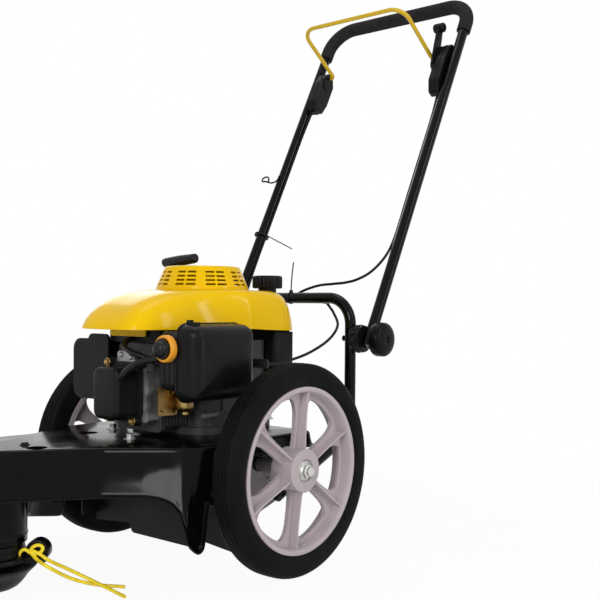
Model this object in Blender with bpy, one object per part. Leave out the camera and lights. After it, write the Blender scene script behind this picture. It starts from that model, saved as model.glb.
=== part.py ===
"""Walk-behind string-trimmer mower with two large wheels, built as separate pieces.

The machine stands on two wheels and on a bowl-shaped foot under its trimmer head.
Work frame: metres, +Z up, -Y is the machine's front, +X its left side, ground at Z = 0
and the wheel axle over Y = 0. At the end the whole machine is shifted along Y, so that
the origin lies on the ground in the middle of its footprint.
"""

import math

import bmesh
import bpy
from mathutils import Matrix, Vector

# Fits
TOUCH = 0.0003  # gap left where two pieces rest against each other
RUN = 0.0004  # radial clearance of a turning shaft in its bore
LOOSE = 0.004  # clearance of a shaft through a sheet-metal hole

# Wheels and axle
WHEEL_R = 0.178
TYRE_W = 0.044
TYRE_OUT_X = 0.2525
TYRE_H = 0.039
RIM_R = WHEEL_R - TYRE_H
HUB_R = 0.0364
HUB_OUT_X = 0.2543
HUB_IN_X = 0.2065
WEB_IN_X = 0.2255
WEB_T = 0.008
SPOKES = 6
SPOKE_TURN = math.radians(-6.0)
# Share of the way from hub to barrel, and half width over the barrel's radius
SPOKE_SHAPE = (
    (-0.039, 0.0935), (0.133, 0.0755), (0.522, 0.0827), (0.717, 0.1080), (0.825, 0.1655),
    (0.912, 0.2660),
)
SPOKE_RIB_H = 0.014
SPOKE_RIB_T = 0.0035
AXLE_R = 0.008
AXLE_END_X = 0.2675
NUT_R = 0.0125
NUT_T = 0.009
WASHER_R = 0.0165
WASHER_T = 0.0020

# Deck pressing
DECK_TOP = 0.229
SHEET = 0.0025
DECK_HALF_W = 0.185
DECK_REAR = 0.105
DECK_ROUND = 0.008
LIP_Z = 0.155
SIDE_LIP_Z = 0.145
REAR_LIP_Z = 0.204
LEG_Z = 0.068
LIP_FLARE = 0.006
LIP_ROLL = 0.006

# Trimmer head
HEAD_X = -0.086
HEAD_Y = -0.368
TONGUE_R = 0.075
SPINDLE_R = 0.010
HOUSING_R = 0.040
HOUSING_BOTTOM = 0.082
BEARING_PLATE_Z = 0.160
BEARING_PLATE_T = 0.004
HEAD_PLATE_R = 0.062
HEAD_PLATE_BOTTOM = 0.044
HEAD_PLATE_T = 0.012
POST_R = 0.0085
POST_RING_R = 0.076
POST_TOP = 0.074
POSTS = 4
BALL_R = 0.071
BALL_FOOT_R = 0.026
BALL_TOP = 0.040
BALL_WALL = 0.004
LINE_R = 0.0020

# Belt drive
CRANK_Y = 0.007
CRANK_R = 0.011
BELT_Z = 0.2065
BELT_H = 0.009
BELT_T = 0.006
CRANK_PULLEY_R = 0.030
SPINDLE_PULLEY_R = 0.042
PULLEY_FLANGE = 0.004
PULLEY_H = 0.016
IDLER_R = 0.018
SPRING_R = 0.005
SPRING_WIRE_R = 0.0008
IDLER_ARM_X = -0.118
IDLER_ARM_Y = -0.068
IDLER_ROLL_X = -0.1012
IDLER_ROLL_Y = -0.160
ARM_T = 0.004
BAIL_CABLE_X = -0.1225
BAIL_CABLE_Y = 0.084

# Axle brackets and debris shield
BRACKET_X = 0.1322
BRACKET_T = 0.003
SLEEVE_R = 0.012
SPACER_R = 0.0165
SPACER_IN_X = 0.166
SHIELD_Y = -0.090
SHIELD_T = 0.003
SHIELD_HALF_W = 0.1815
SHIELD_TOP = 0.170
SHIELD_LOW = 0.038
SHIELD_STEP_X = 0.076
SHIELD_STEP_Z = 0.055
SHIELD_END_Z = 0.046
SHIELD_SIDE_END_Y = -0.030
SHIELD_SIDE_TOP = 0.096

# Handle, its frame and clamps
TUBE_R = 0.011
HANDLE_X = 0.192
HANDLE_TOP_Y = 0.6492
HANDLE_TOP_Z = 1.130
PIVOT_Y = 0.2658
PIVOT_Z = 0.388
HANDLE_BEND_R = 0.060
HANDLE_TAIL = 0.016
GRIP_R = 0.0155
GRIP_LEG = 0.081
FRAME_X = 0.1465
FRAME_TOP_Z = 0.4667
FRAME_ELBOW_Z = 0.205
FRAME_FOOT_Y = 0.050
FRAME_FOOT_Z = 0.113
FRAME_BEND_R = 0.052
STUD_R = 0.004
KNOB_R = 0.0324
KNOB_OUT_X = 0.2345
INDEX_R = 0.0265
INDEX_TEETH = 14
INDEX_TOOTH = 0.0022

# Bail and hand controls, placed along the handle leg
BAIL_R = 0.0037
BAIL_PIVOT_Z = HANDLE_TOP_Z - 0.130
BAIL_REACH_Y = -0.1225
BAIL_RISE_Z = 0.0841
BAIL_LEFT_X = 0.133
BAIL_RIGHT_X = -0.143
BAIL_BEND_R = 0.034
POD_T = 0.026
POD_LEN = {1: 0.125, -1: 0.105}
POD_DROP = {1: 0.034, -1: 0.040}
POD_W = 0.040
LEVER_PIVOT_Z = BAIL_PIVOT_Z - 0.022
LEVER_FORE = 0.012
CABLE_R = 0.0027

# Engine
BLOCK_BASE = DECK_TOP + TOUCH
BLOCK_HALF_X = 0.088
BLOCK_FRONT = -0.078
BLOCK_REAR = 0.092
BLOCK_TOP = 0.388
BARREL_FRONT = -0.128
BARREL_HALF_X = 0.056
BARREL_LOW = 0.240
BARREL_HIGH = 0.385
FINS = 5
FIN_DEPTH = 0.009
HEAD_T = 0.022
ROCKER_FRONT = -0.215
ROCKER_HALF_X = 0.0345
ROCKER_LOW = 0.253
ROCKER_HIGH = 0.347
ROCKER_FLANGE = 0.007
FLYWHEEL_R = 0.078
FLYWHEEL_Z = 0.412
FLYWHEEL_T = 0.012
FAN_TOP = 0.452
FAN_BLADES = 10
COWL_EDGE_Z = 0.410
COWL_TOP_Z = COWL_EDGE_Z + 0.068
COWL_FRONT = -0.232
COWL_REAR = 0.152
COWL_HALF_X = 0.126
COWL_WALL = 0.0025
COWL_MOUTH_R = 0.066
RECOIL_BASE_R = 0.084
RECOIL_TOP_R = 0.070
RECOIL_H = 0.043
RECOIL_TOP_Z = COWL_TOP_Z + RECOIL_H
RECOIL_WALL = 0.0025
SLOT_ROWS = 4
SLOT_PAIRS = 9
FILTER_SEAM_X = 0.137
FILTER_OUT_X = 0.178
FILTER_FRONT = -0.184
FILTER_REAR = -0.038
FILTER_LOW = 0.296
FILTER_HIGH = 0.421
FILTER_BASE_X = 0.100
PRIMER_X = 0.130
PRIMER_Z = 0.383
PRIMER_R = 0.0180
PRIMER_RING_R = 0.0245
PRIMER_TRAVEL = 0.007
TANK_LEFT_X = 0.104
TANK_RIGHT_X = -0.090
TANK_FRONT = BLOCK_REAR + TOUCH
TANK_REAR = 0.148
TANK_LOW = 0.322
TANK_HIGH = 0.4022
CAP_X = 0.055
CAP_Y = 0.124
CAP_R = 0.0285
CAP_LOW = 0.483
CAP_HIGH = 0.507
NECK_R = 0.017
OIL_CAP_Y = 0.040
OIL_CAP_Z = 0.300
MUFFLER_OUT_X = -0.168
MUFFLER_IN_X = -0.066
MUFFLER_FRONT = -0.158
MUFFLER_REAR = -0.084
MUFFLER_LOW = 0.283
MUFFLER_HIGH = 0.392
GRIP_BAR_L = 0.086
GRIP_BAR_Z = RECOIL_TOP_Z + 0.0135
STARTER_X = -0.030
STARTER_Y = -0.022


def side_name(side):
    """The machine's left side is +X."""
    return "left" if side > 0 else "right"


def clear_scene():
    """Remove every object that the scene holds."""
    for obj in list(bpy.data.objects):
        bpy.data.objects.remove(obj, do_unlink=True)


def finish(name, colour, roughness, metallic=0.0):
    """A Principled material of one plain colour."""
    made = bpy.data.materials.new(name)
    made.use_nodes = True
    shader = made.node_tree.nodes["Principled BSDF"]
    shader.inputs["Base Color"].default_value = (*colour, 1.0)
    shader.inputs["Roughness"].default_value = roughness
    shader.inputs["Metallic"].default_value = metallic
    return made


clear_scene()
MACHINE = bpy.data.objects.new("machine", None)
bpy.context.scene.collection.objects.link(MACHINE)

BLACK_PAINT = finish("black_paint", (0.012, 0.012, 0.013), 0.25)
BLACK_PLASTIC = finish("black_plastic", (0.020, 0.020, 0.022), 0.5)
RUBBER = finish("rubber", (0.022, 0.022, 0.024), 0.75)
YELLOW = finish("yellow_plastic", (0.86, 0.60, 0.02), 0.3)
RIM_GREY = finish("rim_grey", (0.42, 0.36, 0.38), 0.45)
STEEL = finish("zinc_steel", (0.62, 0.62, 0.60), 0.35, 1.0)
GOLD_ZINC = finish("gold_zinc", (0.62, 0.46, 0.22), 0.4, 1.0)
CAST = finish("cast_aluminium", (0.42, 0.42, 0.42), 0.5, 0.9)
FOAM = finish("foam_grip", (0.022, 0.022, 0.024), 0.9)
ORANGE = finish("orange_ring", (0.85, 0.36, 0.03), 0.4)
LINE = finish("yellow_line", (0.90, 0.72, 0.03), 0.35)


def place(obj, material, pivot=None):
    """Give a piece its material and put its origin on its joint's axis."""
    obj.data.materials.clear()
    obj.data.materials.append(material)
    if pivot is not None:
        obj.data.transform(Matrix.Translation(-Vector(pivot)))
        obj.location = Vector(pivot)
    obj.parent = MACHINE
    return obj


def from_bmesh(name, bm, material, pivot=None, smooth=35):
    """Turn a closed bmesh into an object with its faces pointing out."""
    bmesh.ops.recalc_face_normals(bm, faces=bm.faces)
    mesh = bpy.data.meshes.new(name)
    bm.to_mesh(mesh)
    bm.free()
    mesh.shade_smooth()
    mesh.set_sharp_from_angle(angle=math.radians(smooth))
    obj = bpy.data.objects.new(name, mesh)
    bpy.context.scene.collection.objects.link(obj)
    return place(obj, material, pivot)


def bridge(bm, loops, closed_ends=True):
    """Skin a row of point loops, all with the same number of points."""
    rings = [[bm.verts.new(point) for point in loop] for loop in loops]
    count = len(rings[0])
    for low, high in zip(rings, rings[1:]):
        for i in range(count):
            j = (i + 1) % count
            bm.faces.new((low[i], low[j], high[j], high[i]))
    if closed_ends:
        bm.faces.new(list(reversed(rings[0])))
        bm.faces.new(rings[-1])
    return rings


def loft(name, loops, material, pivot=None, smooth=35):
    """A closed solid through a row of loops."""
    bm = bmesh.new()
    bridge(bm, loops)
    return from_bmesh(name, bm, material, pivot, smooth)


AXIS_TURN = {
    "Z": Matrix.Identity(4),
    "X": Matrix.Rotation(math.pi / 2, 4, "Y"),
    "Y": Matrix.Rotation(-math.pi / 2, 4, "X"),
}


def spin_profile(profile, steps):
    """Spin a profile of (height, radius) points about the local Z axis.

    A profile whose ends lie on the axis stays open there, any other one closes on itself.
    """
    bm = bmesh.new()
    verts = [bm.verts.new((radius, 0.0, height)) for height, radius in profile]
    edges = [bm.edges.new(pair) for pair in zip(verts, verts[1:])]
    if profile[0][1] > 0:
        edges.append(bm.edges.new((verts[-1], verts[0])))
    bmesh.ops.spin(
        bm, geom=verts + edges, cent=(0, 0, 0), axis=(0, 0, 1),
        angle=2 * math.pi, steps=steps, use_merge=True,
    )
    bmesh.ops.remove_doubles(bm, verts=bm.verts, dist=1e-6)
    return bm


def lathe(name, profile, material, centre, axis="Z", steps=32, pivot=None):
    """A turned piece: (distance along the axis, radius) points about an axis through centre."""
    bm = spin_profile(profile, steps)
    bm.transform(Matrix.Translation(Vector(centre)) @ AXIS_TURN[axis])
    return from_bmesh(name, bm, material, pivot)


def rounded(corners, radius, steps=4):
    """The outline through 2-D corners, each rounded by an arc of the given radius."""
    outline = []
    count = len(corners)
    for i in range(count):
        corner = Vector(corners[i])
        before = (Vector(corners[i - 1]) - corner).normalized()
        after = (Vector(corners[(i + 1) % count]) - corner).normalized()
        half = before.angle(after) / 2
        reach = radius / math.tan(half)
        centre = corner + (before + after).normalized() * (radius / math.sin(half))
        start = corner + before * reach - centre
        end = corner + after * reach - centre
        sweep = start.angle_signed(end)
        for k in range(steps + 1):
            arm = start.copy()
            arm.rotate(Matrix.Rotation(-sweep * k / steps, 2))
            outline.append(centre + arm)
    return [(point.x, point.y) for point in outline]


def rectangle(low_u, high_u, low_v, high_v):
    """Corners of a rectangle, anticlockwise."""
    return [(low_u, low_v), (high_u, low_v), (high_u, high_v), (low_u, high_v)]


def grown(outline, amount):
    """The outline moved outwards by amount, for an anticlockwise outline."""
    moved = []
    count = len(outline)
    for i in range(count):
        here = Vector(outline[i])
        back = (here - Vector(outline[i - 1])).normalized()
        ahead = (Vector(outline[(i + 1) % count]) - here).normalized()
        normal = Vector((back.y + ahead.y, -back.x - ahead.x)).normalized()
        spread = max(0.35, normal.dot(Vector((back.y, -back.x))))
        moved.append(here + normal * (amount / spread))
    return [(point.x, point.y) for point in moved]


def lift(outline, plane, level):
    """Put a 2-D outline into space: plane XY at z, plane YZ at x, plane XZ at y."""
    if plane == "XY":
        return [Vector((u, v, level)) for u, v in outline]
    if plane == "YZ":
        return [Vector((level, u, v)) for u, v in outline]
    return [Vector((u, level, v)) for u, v in outline]


def slab(name, outline, plane, low, high, material, edge=0.0, pivot=None):
    """An outline extruded from low to high, with its two rims rounded off by edge."""
    if edge > 0:
        inner = grown(outline, -edge)
        mid = grown(outline, -edge * 0.3)
        loops = [
            lift(inner, plane, low), lift(mid, plane, low + edge * 0.3),
            lift(outline, plane, low + edge), lift(outline, plane, high - edge),
            lift(mid, plane, high - edge * 0.3), lift(inner, plane, high),
        ]
    else:
        loops = [lift(outline, plane, low), lift(outline, plane, high)]
    return loft(name, loops, material, pivot)


def circle(centre_u, centre_v, radius, count):
    """Points on a circle, anticlockwise."""
    turn = 2 * math.pi / count
    return [
        (centre_u + radius * math.cos(turn * i), centre_v + radius * math.sin(turn * i))
        for i in range(count)
    ]


def bend(corners, radius, steps=5):
    """A 3-D path through corners, with each inner corner turned by an arc.

    The radius is one value for every corner, or a list with one for each.
    """
    radii = radius if isinstance(radius, list) else [radius] * (len(corners) - 2)
    path = [Vector(corners[0])]
    for i in range(1, len(corners) - 1):
        corner = Vector(corners[i])
        radius = radii[i - 1]
        before = (Vector(corners[i - 1]) - corner).normalized()
        after = (Vector(corners[i + 1]) - corner).normalized()
        half = before.angle(after) / 2
        centre = corner + (before + after).normalized() * (radius / math.sin(half))
        start = corner + before * (radius / math.tan(half)) - centre
        end = corner + after * (radius / math.tan(half)) - centre
        for k in range(steps + 1):
            path.append(centre + start.slerp(end, k / steps).normalized() * radius)
    path.append(Vector(corners[-1]))
    return path


def smooth_path(points, per_span=5):
    """A Catmull-Rom curve read between hand-chosen route points."""
    route = [Vector(point) for point in points]
    route = [2 * route[0] - route[1], *route, 2 * route[-1] - route[-2]]
    path = []
    for a, b, c, d in zip(route, route[1:], route[2:], route[3:]):
        for k in range(per_span):
            t = k / per_span
            path.append(
                0.5 * (2 * b + (c - a) * t + (2 * a - 5 * b + 4 * c - d) * t * t
                       + (3 * b - a - 3 * c + d) * t ** 3)
            )
    path.append(route[-2])
    return path


def tube(name, path, radius, material, resolution=2, pivot=None):
    """A round bar along a path, as a bevelled curve with closed ends."""
    curve = bpy.data.curves.new(name, "CURVE")
    curve.dimensions = "3D"
    curve.bevel_depth = radius
    curve.bevel_resolution = resolution
    curve.use_fill_caps = True
    spline = curve.splines.new("POLY")
    spline.points.add(len(path) - 1)
    shift = Vector(pivot) if pivot is not None else Vector()
    for slot, point in zip(spline.points, path):
        slot.co = (*(Vector(point) - shift), 1.0)
    curve.materials.append(material)
    obj = bpy.data.objects.new(name, curve)
    bpy.context.scene.collection.objects.link(obj)
    obj.location = shift
    obj.parent = MACHINE
    return obj


def path_rings(path, radius, sides):
    """Circles of points standing square to a path, one at each of its points."""
    rings = []
    normal = None
    turn = 2 * math.pi / sides
    for i, point in enumerate(path):
        ahead = path[min(i + 1, len(path) - 1)] - path[max(i - 1, 0)]
        tangent = ahead.normalized()
        if normal is None:
            normal = tangent.orthogonal()
        normal = (normal - tangent * normal.dot(tangent)).normalized()
        side = tangent.cross(normal)
        rings.append([
            point + normal * (radius * math.cos(turn * k)) + side * (radius * math.sin(turn * k))
            for k in range(sides)
        ])
    return rings


def bar(name, path, radius, sides, material, pivot=None):
    """A round bar along a path, as a mesh that can be drilled and welded."""
    return loft(name, path_rings(path, radius, sides), material, pivot)


def sleeve(name, path, outer, inner, sides, material, pivot=None):
    """A hollow sleeve along a path, open at both ends."""
    bm = bmesh.new()
    outside = bridge(bm, path_rings(path, outer, sides), closed_ends=False)
    inside = bridge(bm, path_rings(path, inner, sides), closed_ends=False)
    for out_ring, in_ring in ((outside[0], inside[0]), (outside[-1], inside[-1])):
        for i in range(sides):
            j = (i + 1) % sides
            bm.faces.new((out_ring[i], out_ring[j], in_ring[j], in_ring[i]))
    return from_bmesh(name, bm, material, pivot)


def combine(target, tool, operation):
    """Cut a tool out of a piece, or join it on, with an exact Boolean."""
    tool.hide_render = True
    tool.display_type = "WIRE"
    modifier = target.modifiers.new(tool.name, "BOOLEAN")
    modifier.operation = operation
    modifier.solver = "EXACT"
    modifier.object = tool


def drill(target, name, centre, radius, low, high, axis, steps=16):
    """Cut a round hole from low to high along an axis through centre."""
    profile = [(low, 0.0), (low, radius), (high, radius), (high, 0.0)]
    tool = lathe(name, profile, STEEL, centre, axis, steps)
    combine(target, tool, "DIFFERENCE")


def join(target, tool):
    """Weld a shape onto a piece."""
    combine(target, tool, "UNION")


def thicken(obj, wall):
    """Give a skin its wall, inwards from its outer face."""
    modifier = obj.modifiers.new("wall", "SOLIDIFY")
    modifier.thickness = wall
    modifier.offset = -1.0
    modifier.use_even_offset = True
    return obj


# Wheels


def tyre(side):
    """Solid tyre with four grooves round its tread."""
    outer = TYRE_OUT_X
    inner = outer - TYRE_W
    bore = RIM_R + TOUCH
    groove_gap = TYRE_W / 6.2
    middle = (outer + inner) / 2
    profile = [
        (inner + 0.004, bore), (inner, bore + 0.006), (inner, WHEEL_R - 0.010),
        (inner + 0.009, WHEEL_R),
    ]
    for k in range(4):
        groove = middle + (k - 1.5) * groove_gap
        profile += [
            (groove - 0.0018, WHEEL_R), (groove, WHEEL_R - 0.0026), (groove + 0.0018, WHEEL_R),
        ]
    profile += [
        (outer - 0.009, WHEEL_R), (outer - 0.003, WHEEL_R - 0.003),
        (outer, WHEEL_R - 0.010), (outer, bore + 0.006), (outer - 0.004, bore),
    ]
    if side < 0:
        profile = [(-x, radius) for x, radius in profile]
    name = f"tyre_{side_name(side)}"
    return lathe(name, profile, RUBBER, (0, 0, WHEEL_R), "X", 28, (0, 0, WHEEL_R))


def spoke_outline(angle, half_widths):
    """One spoke seen from the side: (radius, half width) pairs swung to an angle."""
    edge = [(radius, half) for radius, half in half_widths]
    edge += [(radius, -half) for radius, half in reversed(half_widths)]
    turn = Matrix.Rotation(angle, 2)
    points = [turn @ Vector(point) for point in edge]
    return [(point.x, point.y + WHEEL_R) for point in points]


def rim(side):
    """Six-spoke rim: a flanged barrel, a deep hub and spokes that carry a raised rib."""
    web_out = WEB_IN_X + WEB_T
    barrel_in = TYRE_OUT_X - TYRE_W + 0.001
    barrel_out = TYRE_OUT_X - 0.001
    barrel = [
        (barrel_in, RIM_R), (barrel_in, RIM_R - 0.010), (WEB_IN_X - 0.0013, RIM_R - 0.0115),
        (web_out + 0.0013, RIM_R - 0.0115), (barrel_out - 0.004, RIM_R - 0.0095),
        (barrel_out, RIM_R - 0.0075), (barrel_out, RIM_R),
    ]
    hub = [
        (HUB_OUT_X, HUB_R - 0.002), (HUB_OUT_X, WASHER_R + 0.0015),
        (HUB_OUT_X - 0.004, WASHER_R + 0.001), (HUB_OUT_X - 0.004, AXLE_R + RUN),
        (HUB_IN_X, AXLE_R + RUN), (HUB_IN_X, HUB_R - 0.005), (HUB_IN_X + 0.005, HUB_R),
        (HUB_OUT_X - 0.002, HUB_R),
    ]
    name = f"rim_{side_name(side)}"
    centre = (0, 0, WHEEL_R)

    def mirrored(profile):
        return [(x * side, radius) for x, radius in profile]

    wheel = lathe(name, mirrored(hub), RIM_GREY, centre, "X", 18, centre)
    spoke_widths = [
        (HUB_R + (RIM_R - HUB_R) * share, RIM_R * half) for share, half in SPOKE_SHAPE
    ]
    rib_widths = [(HUB_R - 0.0055, SPOKE_RIB_T / 2), (RIM_R - 0.0075, SPOKE_RIB_T / 2)]
    spoke_faces = sorted((WEB_IN_X * side, web_out * side))
    rib_faces = sorted(((web_out - 0.001) * side, (web_out + SPOKE_RIB_H) * side))
    for k in range(SPOKES):
        angle = math.pi / 2 + SPOKE_TURN + k * 2 * math.pi / SPOKES
        web = slab(
            f"{name}_web_{k}", spoke_outline(angle, spoke_widths), "YZ", *spoke_faces, RIM_GREY,
        )
        rib = slab(
            f"{name}_rib_{k}", spoke_outline(angle, rib_widths), "YZ", *rib_faces, RIM_GREY,
        )
        join(wheel, web)
        join(wheel, rib)
    ring = lathe(f"{name}_barrel", mirrored(barrel), RIM_GREY, centre, "X", 28)
    join(wheel, ring)
    return wheel


def axle():
    """Straight axle through both hubs."""
    chamfer = 0.0015
    profile = [
        (-AXLE_END_X, 0.0), (-AXLE_END_X, AXLE_R - chamfer), (-AXLE_END_X + chamfer, AXLE_R),
        (AXLE_END_X - chamfer, AXLE_R), (AXLE_END_X, AXLE_R - chamfer), (AXLE_END_X, 0.0),
    ]
    return lathe("axle", profile, STEEL, (0, 0, WHEEL_R), "X", 16)


def axle_nut(side):
    """Flanged nut in the hub's recess, which holds the wheel on the axle."""
    seat = HUB_OUT_X - 0.004 + TOUCH
    bore = AXLE_R + TOUCH
    washer = [
        (side * seat, bore), (side * seat, WASHER_R),
        (side * (seat + WASHER_T), WASHER_R), (side * (seat + WASHER_T), bore),
    ]
    name = f"axle_nut_{side_name(side)}"
    nut = lathe(name, washer, STEEL, (0, 0, WHEEL_R), "X", 12)
    faces = sorted((side * (seat + WASHER_T - 0.0005), side * (seat + WASHER_T + NUT_T)))
    hexagon = slab(f"{name}_hex", circle(0, WHEEL_R, NUT_R, 6), "YZ", *faces, STEEL)
    join(nut, hexagon)
    drill(nut, f"{name}_bore", (0, 0, WHEEL_R), bore, faces[0] - 0.01, faces[1] + 0.01, "X", 12)
    return nut


def axle_bracket(side):
    """Side plate under the deck, with the sleeve and spacer that locate the wheel."""
    outline = rounded(
        [(SHIELD_Y + SHIELD_T + TOUCH, 0.150), (-0.050, 0.096), (0.020, 0.089), (0.094, 0.112),
         (0.100, 0.160), (0.100, DECK_TOP - SHEET - TOUCH), (SHIELD_Y + SHIELD_T + TOUCH, DECK_TOP - SHEET - TOUCH)],
        0.006, 2,
    )
    low, high = sorted((side * BRACKET_X, side * (BRACKET_X + BRACKET_T)))
    name = f"axle_bracket_{side_name(side)}"
    plate = slab(name, outline, "YZ", low, high, CAST)
    bore = AXLE_R + TOUCH
    start = BRACKET_X + BRACKET_T - 0.001
    end = HUB_IN_X - TOUCH
    boss = [
        (side * start, bore), (side * start, SLEEVE_R), (side * SPACER_IN_X, SLEEVE_R),
        (side * SPACER_IN_X, SPACER_R), (side * (end - 0.006), SPACER_R),
        (side * (end - 0.004), SLEEVE_R), (side * end, SLEEVE_R), (side * end, bore),
    ]
    join(plate, lathe(f"{name}_sleeve", boss, CAST, (0, 0, WHEEL_R), "X", 12))
    drill(plate, f"{name}_bore", (0, 0, WHEEL_R), bore, low - 0.01, high + 0.01, "X", 12)
    return plate


# Deck


def deck_rails():
    """Matching points of the deck's top edge and lip, from rear left round the front.

    Each entry is (top x, top y, lip x, lip y, lip z). The left front corner carries a leg,
    and the right side, where the head is offset, carries a longer one.
    """
    half = DECK_HALF_W
    lip = half + 0.005
    tip = Vector((HEAD_X, HEAD_Y))
    rails = [
        (half - 0.012, DECK_REAR, half - 0.012, DECK_REAR + 0.002, REAR_LIP_Z),
        (half - 0.003, DECK_REAR - 0.004, half - 0.001, DECK_REAR - 0.002, REAR_LIP_Z),
        (half, DECK_REAR - 0.014, lip - 0.003, DECK_REAR - 0.014, REAR_LIP_Z),
        (half, -0.075, lip, -0.075, REAR_LIP_Z),
        (half, -0.088, lip, -0.090, SIDE_LIP_Z),
        (half, -0.142, lip, -0.168, SIDE_LIP_Z),
        (half, -0.149, lip, -0.177, LEG_Z + 0.006),
        (half - 0.002, -0.157, lip + 0.001, -0.188, LEG_Z),
        (half - 0.007, -0.167, lip, -0.203, LEG_Z + 0.012),
        (half - 0.015, -0.177, lip - 0.003, -0.205, LEG_Z + 0.044),
        (half - 0.024, -0.187, lip - 0.011, -0.206, LEG_Z + 0.063),
        (half - 0.034, -0.197, lip - 0.026, -0.210, LIP_Z - 0.011),
        (half - 0.048, -0.210, lip - 0.043, -0.222, LIP_Z - 0.003),
        (half - 0.065, -0.226, lip - 0.062, -0.236, LIP_Z),
    ]
    shoulder = Vector((0.070, -0.273))
    arm = tip - shoulder
    tangent_turn = math.asin(TONGUE_R / arm.length)
    heading = math.atan2(arm.y, arm.x) + tangent_turn
    normal_angle = heading - math.pi / 2
    rails.append((shoulder.x, shoulder.y, shoulder.x + LIP_FLARE, shoulder.y - LIP_FLARE, LIP_Z))
    half_way = shoulder + Vector((math.cos(heading), math.sin(heading))) * arm.length * 0.5
    rails.append((
        half_way.x, half_way.y, half_way.x + LIP_FLARE, half_way.y - LIP_FLARE * 0.6, LIP_Z,
    ))
    start = normal_angle + math.pi
    end = -math.pi
    start = (start + math.pi) % (2 * math.pi) - math.pi
    arcs = 10
    for k in range(arcs + 1):
        angle = start + (end - start) * k / arcs
        spot = tip + Vector((math.cos(angle), math.sin(angle))) * TONGUE_R
        edge = tip + Vector((math.cos(angle), math.sin(angle))) * (TONGUE_R + LIP_FLARE)
        rails.append((spot.x, spot.y, edge.x, edge.y, LIP_Z))
    rails += [
        (-0.152, -0.300, -0.158, -0.300, LIP_Z),
        (-0.146, -0.268, -0.153, -0.274, LIP_Z - 0.005),
        (-0.147, -0.254, -0.161, -0.260, LEG_Z + 0.055),
        (-0.151, -0.244, -0.171, -0.248, LEG_Z + 0.014),
        (-0.158, -0.230, -0.181, -0.236, LEG_Z + 0.010),
        (-half + 0.013, -0.210, -lip + 0.001, -0.214, LEG_Z + 0.005),
        (-half + 0.003, -0.186, -lip, -0.186, LEG_Z),
        (-half, -0.160, -lip, -0.160, LEG_Z - 0.004),
        (-half, -0.151, -lip, -0.151, SIDE_LIP_Z),
        (-half, -0.088, -lip, -0.090, SIDE_LIP_Z),
        (-half, -0.075, -lip, -0.075, REAR_LIP_Z),
        (-half, DECK_REAR - 0.014, -lip + 0.003, DECK_REAR - 0.014, REAR_LIP_Z),
        (-half + 0.003, DECK_REAR - 0.004, -half + 0.001, DECK_REAR - 0.002, REAR_LIP_Z),
        (-half + 0.012, DECK_REAR, -half + 0.012, DECK_REAR + 0.002, REAR_LIP_Z),
    ]
    return rails


def deck():
    """Pressed steel deck: a flat top, a skirt that flares to a rolled lip, and two legs."""
    rails = list(reversed(deck_rails()))
    top_edge = [(rail[0], rail[1]) for rail in rails]
    loops = [
        lift(grown(top_edge, -DECK_ROUND), "XY", DECK_TOP),
        lift(grown(top_edge, -DECK_ROUND * 0.3), "XY", DECK_TOP - DECK_ROUND * 0.3),
    ]
    for down, out in ((0.0, 0.0), (0.60, 0.48), (1.0, 1.0)):
        loop = []
        for top_x, top_y, lip_x, lip_y, lip_z in rails:
            start = DECK_TOP - DECK_ROUND
            height = start + (lip_z + LIP_ROLL - start) * down
            loop.append(Vector((
                top_x + (lip_x - top_x) * out, top_y + (lip_y - top_y) * out, height,
            )))
        loops.append(loop)
    lip_edge = grown([(rail[2], rail[3]) for rail in rails], 0.0035)
    loops.append([
        Vector((spot[0], spot[1], rail[4])) for spot, rail in zip(lip_edge, rails)
    ])
    bm = bmesh.new()
    rings = bridge(bm, loops, closed_ends=False)
    bm.faces.new(rings[0])
    shell = from_bmesh("deck", bm, BLACK_PAINT)
    if sum(face.normal.z for face in shell.data.polygons if abs(face.normal.z) > 0.99) < 0:
        shell.data.flip_normals()
    thicken(shell, SHEET)
    drill(shell, "crank_hole", (0, CRANK_Y, 0), CRANK_R + LOOSE, 0.2, 0.3, "Z", 20)
    for k, (x, y) in enumerate(((-0.003, -0.342), (-0.078, -0.188))):
        drill(shell, f"belt_window_{k}", (x, y, 0), 0.0165, 0.2, 0.3, "Z", 16)
    hole = (BAIL_CABLE_X, BAIL_CABLE_Y, 0)
    drill(shell, "cable_hole", hole, CABLE_R + 0.0012, 0.2, 0.3, "Z", 10)
    return shell


def debris_shield():
    """Plastic shield across the deck behind the head, with its two ends turned back."""
    low_edge = [
        (-SHIELD_HALF_W, SHIELD_END_Z), (-SHIELD_STEP_X - 0.012, SHIELD_STEP_Z),
        (-SHIELD_STEP_X, SHIELD_LOW), (SHIELD_STEP_X, SHIELD_LOW),
        (SHIELD_STEP_X + 0.012, SHIELD_STEP_Z), (SHIELD_HALF_W, SHIELD_END_Z),
    ]
    top_edge = [
        (SHIELD_HALF_W, SHIELD_TOP), (SHIELD_STEP_X + 0.012, SHIELD_TOP),
        (SHIELD_STEP_X, SHIELD_TOP), (-SHIELD_STEP_X, SHIELD_TOP),
        (-SHIELD_STEP_X - 0.012, SHIELD_TOP), (-SHIELD_HALF_W, SHIELD_TOP),
    ]
    front = SHIELD_Y
    panel = slab(
        "debris_shield", low_edge + top_edge, "XZ", front, front + SHIELD_T, BLACK_PLASTIC,
    )
    for side in (1, -1):
        edge = side * SHIELD_HALF_W
        low, high = sorted((edge, edge - side * SHIELD_T))
        outline = [
            (front + 0.001, SHIELD_END_Z + 0.002), (SHIELD_SIDE_END_Y, SHIELD_END_Z),
            (SHIELD_SIDE_END_Y - 0.014, SHIELD_SIDE_TOP), (front + 0.030, SHIELD_SIDE_TOP),
            (front + 0.020, SHIELD_TOP - 0.001), (front + 0.001, SHIELD_TOP - 0.001),
        ]
        wing = slab(f"shield_wing_{side_name(side)}", outline, "YZ", low, high, BLACK_PLASTIC)
        join(panel, wing)
    return panel


# Belt drive and trimmer head


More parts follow.
